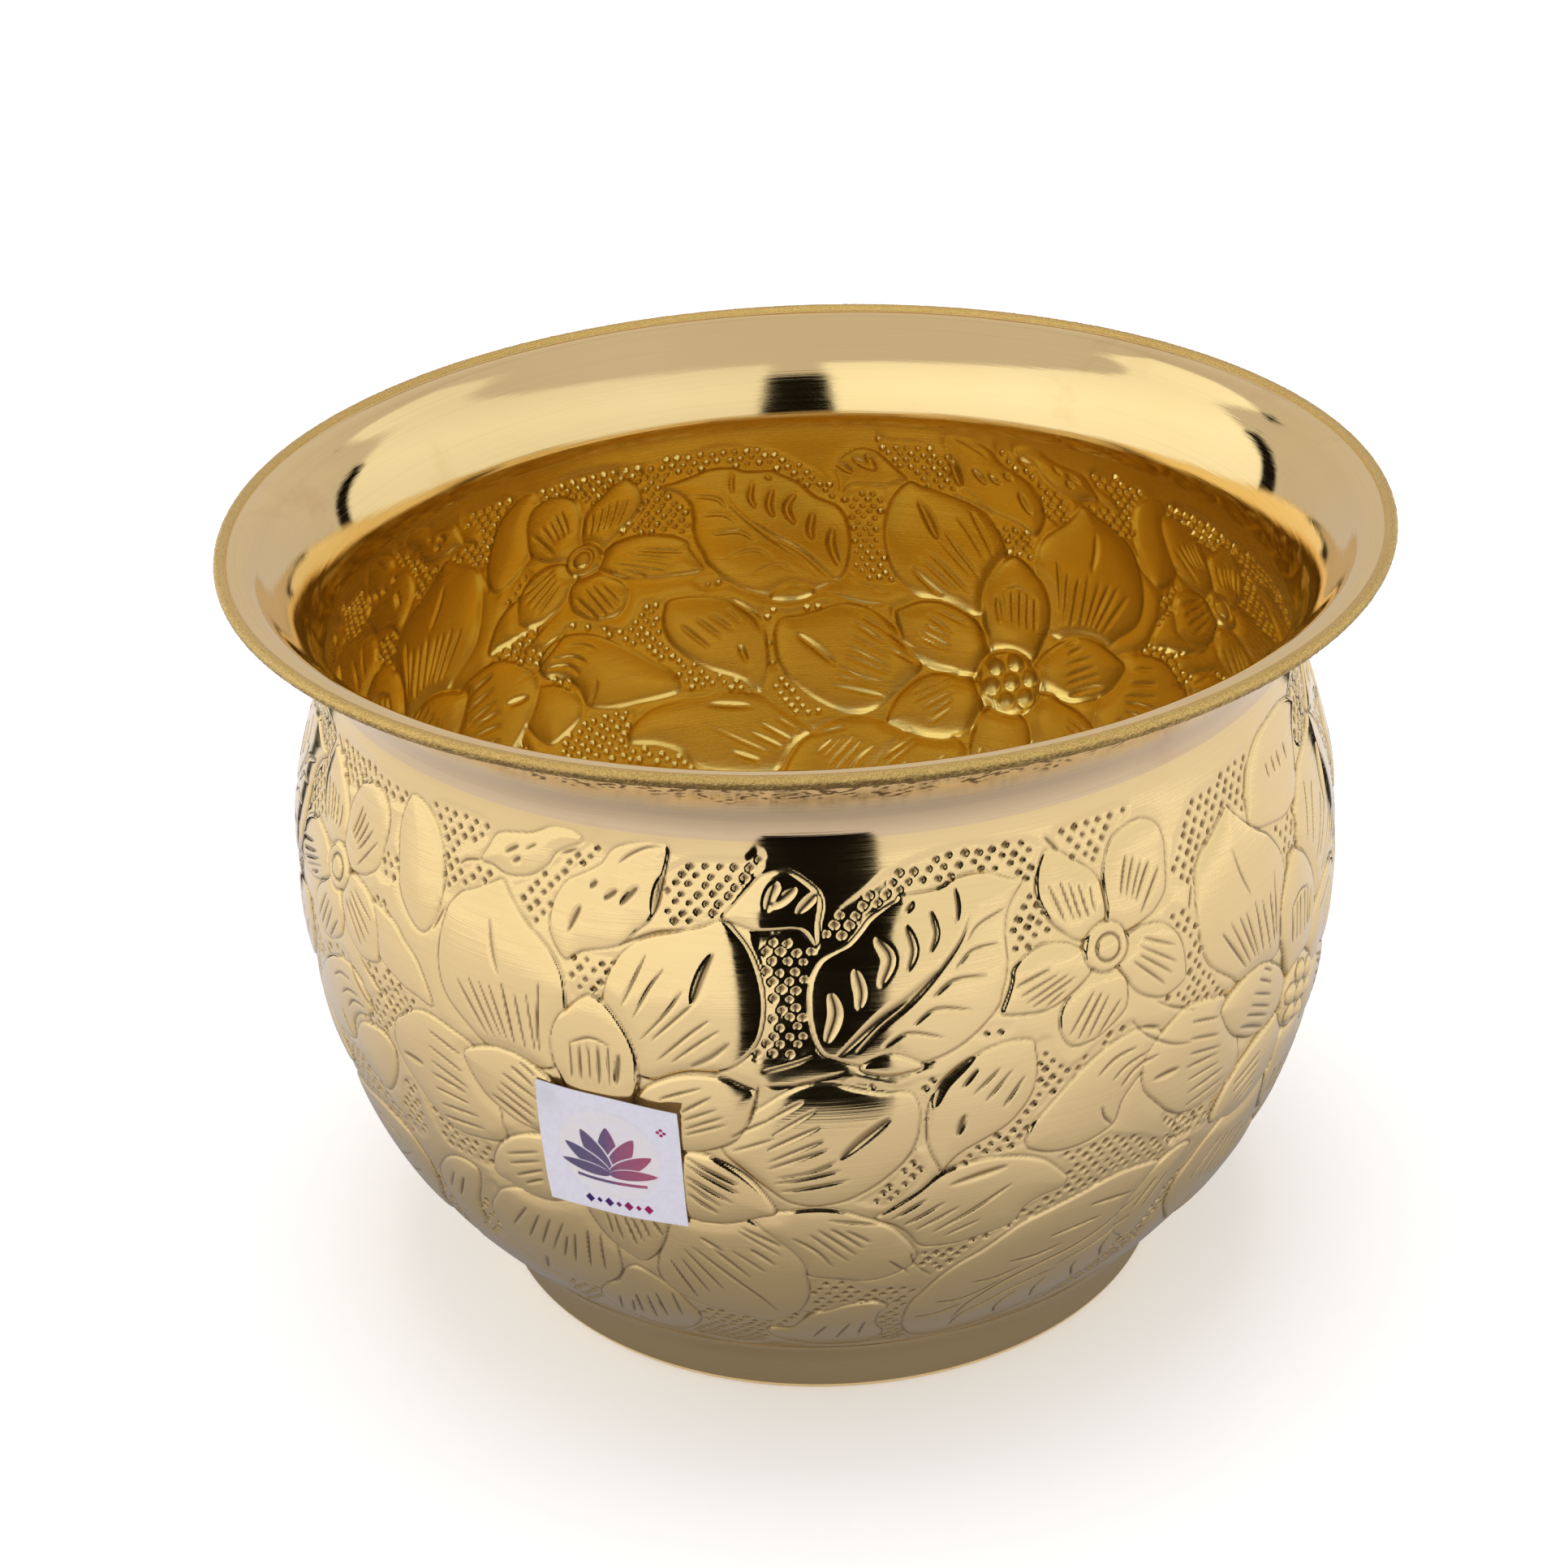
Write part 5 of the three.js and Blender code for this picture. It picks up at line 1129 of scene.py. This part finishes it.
# bluish lines where the seal is embossed: painted shading
emboss_shading = node(nt, "ShaderNodeAttribute", attribute_name="emboss_shading")
emboss_shaded = node(nt, "ShaderNodeMix", data_type="RGBA")
nt.links.new(maths(nt, "MULTIPLY", emboss_shading.outputs["Fac"], 0.55), emboss_shaded.inputs[0])
nt.links.new(greyed.outputs[2], emboss_shaded.inputs[6])
emboss_shaded.inputs[7].default_value = (0.55, 0.57, 0.66, 1)
colour = ramp(nt, across.outputs["Fac"], [(0.25, (0.018, 0.005, 0.085, 1)), (0.48, (0.045, 0.004, 0.10, 1)), (0.56, (0.17, 0.002, 0.075, 1)), (0.8, (0.27, 0.002, 0.075, 1))])
printed = node(nt, "ShaderNodeMix", data_type="RGBA")
nt.links.new(ink_a.outputs["Fac"], printed.inputs[0])
nt.links.new(emboss_shaded.outputs[2], printed.inputs[6])
nt.links.new(colour, printed.inputs[7])
nt.links.new(printed.outputs[2], b.inputs["Base Color"])
nt.links.new(remap(nt, paper_noise, 0.3, 0.7, 0.30, 0.42), b.inputs["Roughness"])
b.inputs["Specular IOR Level"].default_value = 0.12
nt.links.new(bump(nt, paper_noise, 0.08, 0.0001), b.inputs["Normal"])
label.data.materials.append(m)

m, nt, b = new_material("clear_seal_film")
scr = node(nt, "ShaderNodeAttribute", attribute_name="scroll_shading")
tc = node(nt, "ShaderNodeTexCoord")
film_noise = noise(nt, tc.outputs["Object"], 600.0, 2.0, 0.5)
# greyer on the scrolls and the rim line: painted shading of the emboss
nt.links.new(ramp(nt, scr.outputs["Fac"], [(0.0, (0.80, 0.76, 0.74, 1)), (1.0, (0.66, 0.67, 0.74, 1))]), b.inputs["Base Color"])
b.inputs["Specular IOR Level"].default_value = 0.16
nt.links.new(remap(nt, film_noise, 0.3, 0.7, 0.10, 0.2), b.inputs["Roughness"])
nt.links.new(bump(nt, film_noise, 0.05, 0.0001), b.inputs["Normal"])
b.inputs["Alpha"].default_value = 0.045
seal.data.materials.append(m)

# ---- the pieces in the frame ------------------------------------------------------------------------------------------
for o, cad_node, slot in [(bowl, "bowl_body", "polished_brass"), (foot, "foot_ring", "satin_brass"), (braze, "braze_seam", "braze"),
                          (label, "label", "label_paper"), (seal, "label_seal", "clear_film")]:
    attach(o, "root")
    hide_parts(cad_node)

# ---- camera -------------------------------------------------------------------------------------------------------------
D, elev, roll = 556.611 * U * 0.001, 0.406661, -0.0395257
focal, cu, cv = 4000.0, 989.491, 627.524
C = np.array([0, -D * math.cos(elev), D * math.sin(elev)])
fwd = -C / np.linalg.norm(C)
right = np.array([1.0, 0, 0])
up = np.cross(right, fwd)
base = np.stack([right, -up, fwd])
cr0, sr0 = math.cos(roll), math.sin(roll)
Rr = np.array([[cr0, -sr0, 0], [sr0, cr0, 0], [0, 0, 1]])
t = np.array([(cu - 966) / focal, (cv - 966) / focal, 1.0])
t /= np.linalg.norm(t)
z0 = np.array([0, 0, 1.0])
ax = np.cross(z0, t)
sa, ca = np.linalg.norm(ax), float(z0 @ t)
ax = ax / sa
K = np.array([[0, -ax[2], ax[1]], [ax[2], 0, -ax[0]], [-ax[1], ax[0], 0]])
Rm = np.eye(3) + sa * K + (1 - ca) * K @ K
Mx = Rm @ Rr @ base
cam_data = bpy.data.cameras.new("camera")
cam_data.sensor_width = 36.0
cam_data.sensor_height = 36.0
cam_data.lens = focal * 36.0 / 1932.0
cam_data.clip_start = 0.01
cam = bpy.data.objects.new("camera", cam_data)
scene.collection.objects.link(cam)
mw = Matrix.Identity(4)
for i in range(3):
    mw[i][0], mw[i][1], mw[i][2] = Mx[0][i], -Mx[1][i], -Mx[2][i]
mw[0][3], mw[1][3], mw[2][3] = C[0], C[1], C[2] + RIM_PLANE * 0.001
cam.matrix_world = mw
scene.camera = cam

# ---- floor, light and the dark gaps that the metal reflects ----------------------------------------------------------
def flat_quad(name, corners):
    me = bpy.data.meshes.new(name)
    me.from_pydata([tuple(c) for c in corners], [], [tuple(range(len(corners)))])
    me.update()
    o = bpy.data.objects.new(name, me)
    scene.collection.objects.link(o)
    return o


floor = flat_quad("floor", [(-6, -6, -0.0002), (6, -6, -0.0002), (6, 6, -0.0002), (-6, 6, -0.0002)])
m, nt, b = new_material("floor_white")
b.inputs["Base Color"].default_value = (0.9, 0.9, 0.9, 1)
b.inputs["Roughness"].default_value = 0.9
b.inputs["Specular IOR Level"].default_value = 0.1
b.inputs["Emission Color"].default_value = (1, 1, 1, 1)
b.inputs["Emission Strength"].default_value = 0.22
floor.data.materials.append(m)

black = bpy.data.materials.new("dark_gap")
black.use_nodes = True
bn = black.node_tree
bn.nodes.clear()
bo, be = bn.nodes.new("ShaderNodeOutputMaterial"), bn.nodes.new("ShaderNodeEmission")
be.inputs[0].default_value = (0.006, 0.005, 0.004, 1)
be.inputs[1].default_value = 1.0
bn.links.new(be.outputs[0], bo.inputs[0])


def gap(name, corners):
    o = flat_quad(name, corners)
    o.data.materials.append(black)
    o.visible_camera = False
    o.visible_diffuse = False
    o.visible_shadow = False
    o.visible_transmission = False
    return o


def polar(az, dist, z):
    a = math.radians(az)
    return (dist * math.sin(a), -dist * math.cos(a), z)


# the white tent round the bowl is open in front, where it is dark, and has two dark seams at the back
gap("gap_front", [(-0.048, -0.245, 0.0), (0.048, -0.245, 0.0), (0.043, -0.245, 0.43), (-0.043, -0.245, 0.43)])
gap("gap_front_foot", [(-0.044, -0.245, 0.002), (0.044, -0.245, 0.002), (0.04, -0.212, 0.002), (-0.04, -0.212, 0.002)])
for side, a0, a1 in (("left", -134.6, -140.6), ("right", 132.6, 137.6)):
    mid = -128.5 if a0 < 0 else 127.0
    gap("gap_table_" + side, [polar(mid - 2.0, 0.19, 0.003), polar(mid + 2.0, 0.19, 0.003), polar(mid + 3.0, 0.8, 0.003), polar(mid - 3.0, 0.8, 0.003)])
    gap("gap_back_" + side, [polar(a0, 0.8, 0.0), polar(a1, 0.8, 0.0), polar(a1, 0.8, 0.66), polar(a0, 0.8, 0.66)])


def wall_of_light(name, az0, az1, dist, z0, z1, strength, colour=(1, 1, 1)):
    """An upright white curve that glows evenly towards the bowl; the camera doesn't see it."""
    steps = max(2, int(abs(az1 - az0) / 6))
    v, f = [], []
    for i in range(steps + 1):
        az = az0 + (az1 - az0) * i / steps
        v += [polar(az, dist, z0), polar(az, dist, z1)]
    for i in range(steps):
        f.append((2 * i, 2 * i + 2, 2 * i + 3, 2 * i + 1))
    me = bpy.data.meshes.new(name)
    me.from_pydata(v, [], f)
    me.update()
    o = bpy.data.objects.new(name, me)
    scene.collection.objects.link(o)
    mm = bpy.data.materials.new(name)
    mm.use_nodes = True
    mm.node_tree.nodes.clear()
    mo, mp = mm.node_tree.nodes.new("ShaderNodeOutputMaterial"), mm.node_tree.nodes.new("ShaderNodeEmission")
    mp.inputs[0].default_value = (*colour, 1)
    wt = mm.node_tree
    where = node(wt, "ShaderNodeTexCoord")
    cut3 = node(wt, "ShaderNodeSeparateXYZ")
    wt.links.new(where.outputs["Object"], cut3.inputs[0])
    tall = maths(wt, "DIVIDE", cut3.outputs[2], z1)
    g3 = ramp(wt, tall, [(0.0, (0.94, 0.92, 0.95, 1)), (0.05, (1.0, 0.99, 1.0, 1)), (0.14, (1.0, 1.0, 1.0, 1)), (0.45, (1.08, 1.08, 1.08, 1)), (1.0, (0.94, 0.94, 0.94, 1))])
    wt.links.new(maths(wt, "MULTIPLY", g3, strength), mp.inputs[1])
    mm.node_tree.links.new(mp.outputs[0], mo.inputs[0])
    me.materials.append(mm)
    o.visible_camera = False
    o.visible_shadow = False
    return o


wall_of_light("tent_right", 8, 131, 2.0, 0.0, 2.9, 1.0)
wall_of_light("tent_left", -133, -8, 2.0, 0.0, 2.9, 1.2)
wall_of_light("tent_back", 140, 219, 2.0, 0.0, 2.9, 0.68, (1.0, 0.93, 0.94))

# what the metal sees of the table near its foot: the bowl's own shade
shade = flat_quad("table_shade", [polar(i * 7.5, 1.0, 0.0012) for i in range(48)])
m, nt, b = new_material("table_shade")
nt.nodes.clear()
so, se, st, sm = (nt.nodes.new(k) for k in ("ShaderNodeOutputMaterial", "ShaderNodeEmission", "ShaderNodeBsdfTransparent", "ShaderNodeMixShader"))
tc = node(nt, "ShaderNodeTexCoord")
ln = node(nt, "ShaderNodeVectorMath", operation="LENGTH")
nt.links.new(tc.outputs["Object"], ln.inputs[0])
glow = ramp(nt, ln.outputs["Value"], [(0.06, (0.24, 0.225, 0.225, 1)), (0.10, (0.37, 0.352, 0.352, 1)), (0.15, (0.69, 0.665, 0.69, 1)), (0.22, (0.88, 0.86, 0.90, 1)), (0.35, (0.96, 0.94, 0.98, 1)), (0.95, (1.0, 0.98, 1.0, 1))])
nt.links.new(glow, se.inputs[0])
nt.links.new(remap(nt, ln.outputs["Value"], 0.8, 1.0, 0.0, 1.0), sm.inputs[0])
nt.links.new(se.outputs[0], sm.inputs[1])
nt.links.new(st.outputs[0], sm.inputs[2])
nt.links.new(sm.outputs[0], so.inputs[0])
shade.data.materials.append(m)
shade.visible_camera = False
shade.visible_diffuse = False
shade.visible_shadow = False

# a plain white wall far behind everything: only the camera sees it
v, f = [], []
for i in range(48):
    x, y, _ = polar(i * 7.5, 5.2, 0)
    v += [(x, y, -0.5), (x, y, 6.0)]
    j = (i + 1) % 48
    f.append((2 * i, 2 * j, 2 * j + 1, 2 * i + 1))
me = bpy.data.meshes.new("backdrop")
me.from_pydata(v, [], f)
me.update()
backdrop = bpy.data.objects.new("backdrop", me)
scene.collection.objects.link(backdrop)
mb = bpy.data.materials.new("backdrop_white")
mb.use_nodes = True
mb.node_tree.nodes.clear()
mo, mp = mb.node_tree.nodes.new("ShaderNodeOutputMaterial"), mb.node_tree.nodes.new("ShaderNodeEmission")
mp.inputs[0].default_value = (1, 1, 1, 1)
mp.inputs[1].default_value = 1.02
mb.node_tree.links.new(mp.outputs[0], mo.inputs[0])
me.materials.append(mb)
backdrop.visible_diffuse = False
backdrop.visible_glossy = False
backdrop.visible_transmission = False
backdrop.visible_shadow = False


def area(name, place, target, size, watts, colour):
    d = bpy.data.lights.new(name, "AREA")
    d.shape = "RECTANGLE"
    d.size, d.size_y = size
    d.energy = watts
    d.color = colour
    o = bpy.data.objects.new(name, d)
    scene.collection.objects.link(o)
    o.location = place
    o.rotation_euler = (Vector(target) - Vector(place)).to_track_quat("-Z", "Y").to_euler()
    return o


area("top", (0, 0.2, 2.4), (0, 0, 0.07), (1.2, 1.2), 19, (1.0, 1.0, 1.0)).visible_glossy = False

world = bpy.data.worlds.new("pale_room")
scene.world = world
world.use_nodes = True
wn = world.node_tree
wn.nodes.clear()
wo, wb = wn.nodes.new("ShaderNodeOutputWorld"), wn.nodes.new("ShaderNodeBackground")
wb.inputs[0].default_value = (1.0, 0.945, 0.97, 1)
wb.inputs[1].default_value = 0.70
wn.links.new(wb.outputs[0], wo.inputs[0])
scene.view_settings.view_transform = "Standard"
scene.view_settings.look = "None"
scene.view_settings.exposure = 0.0
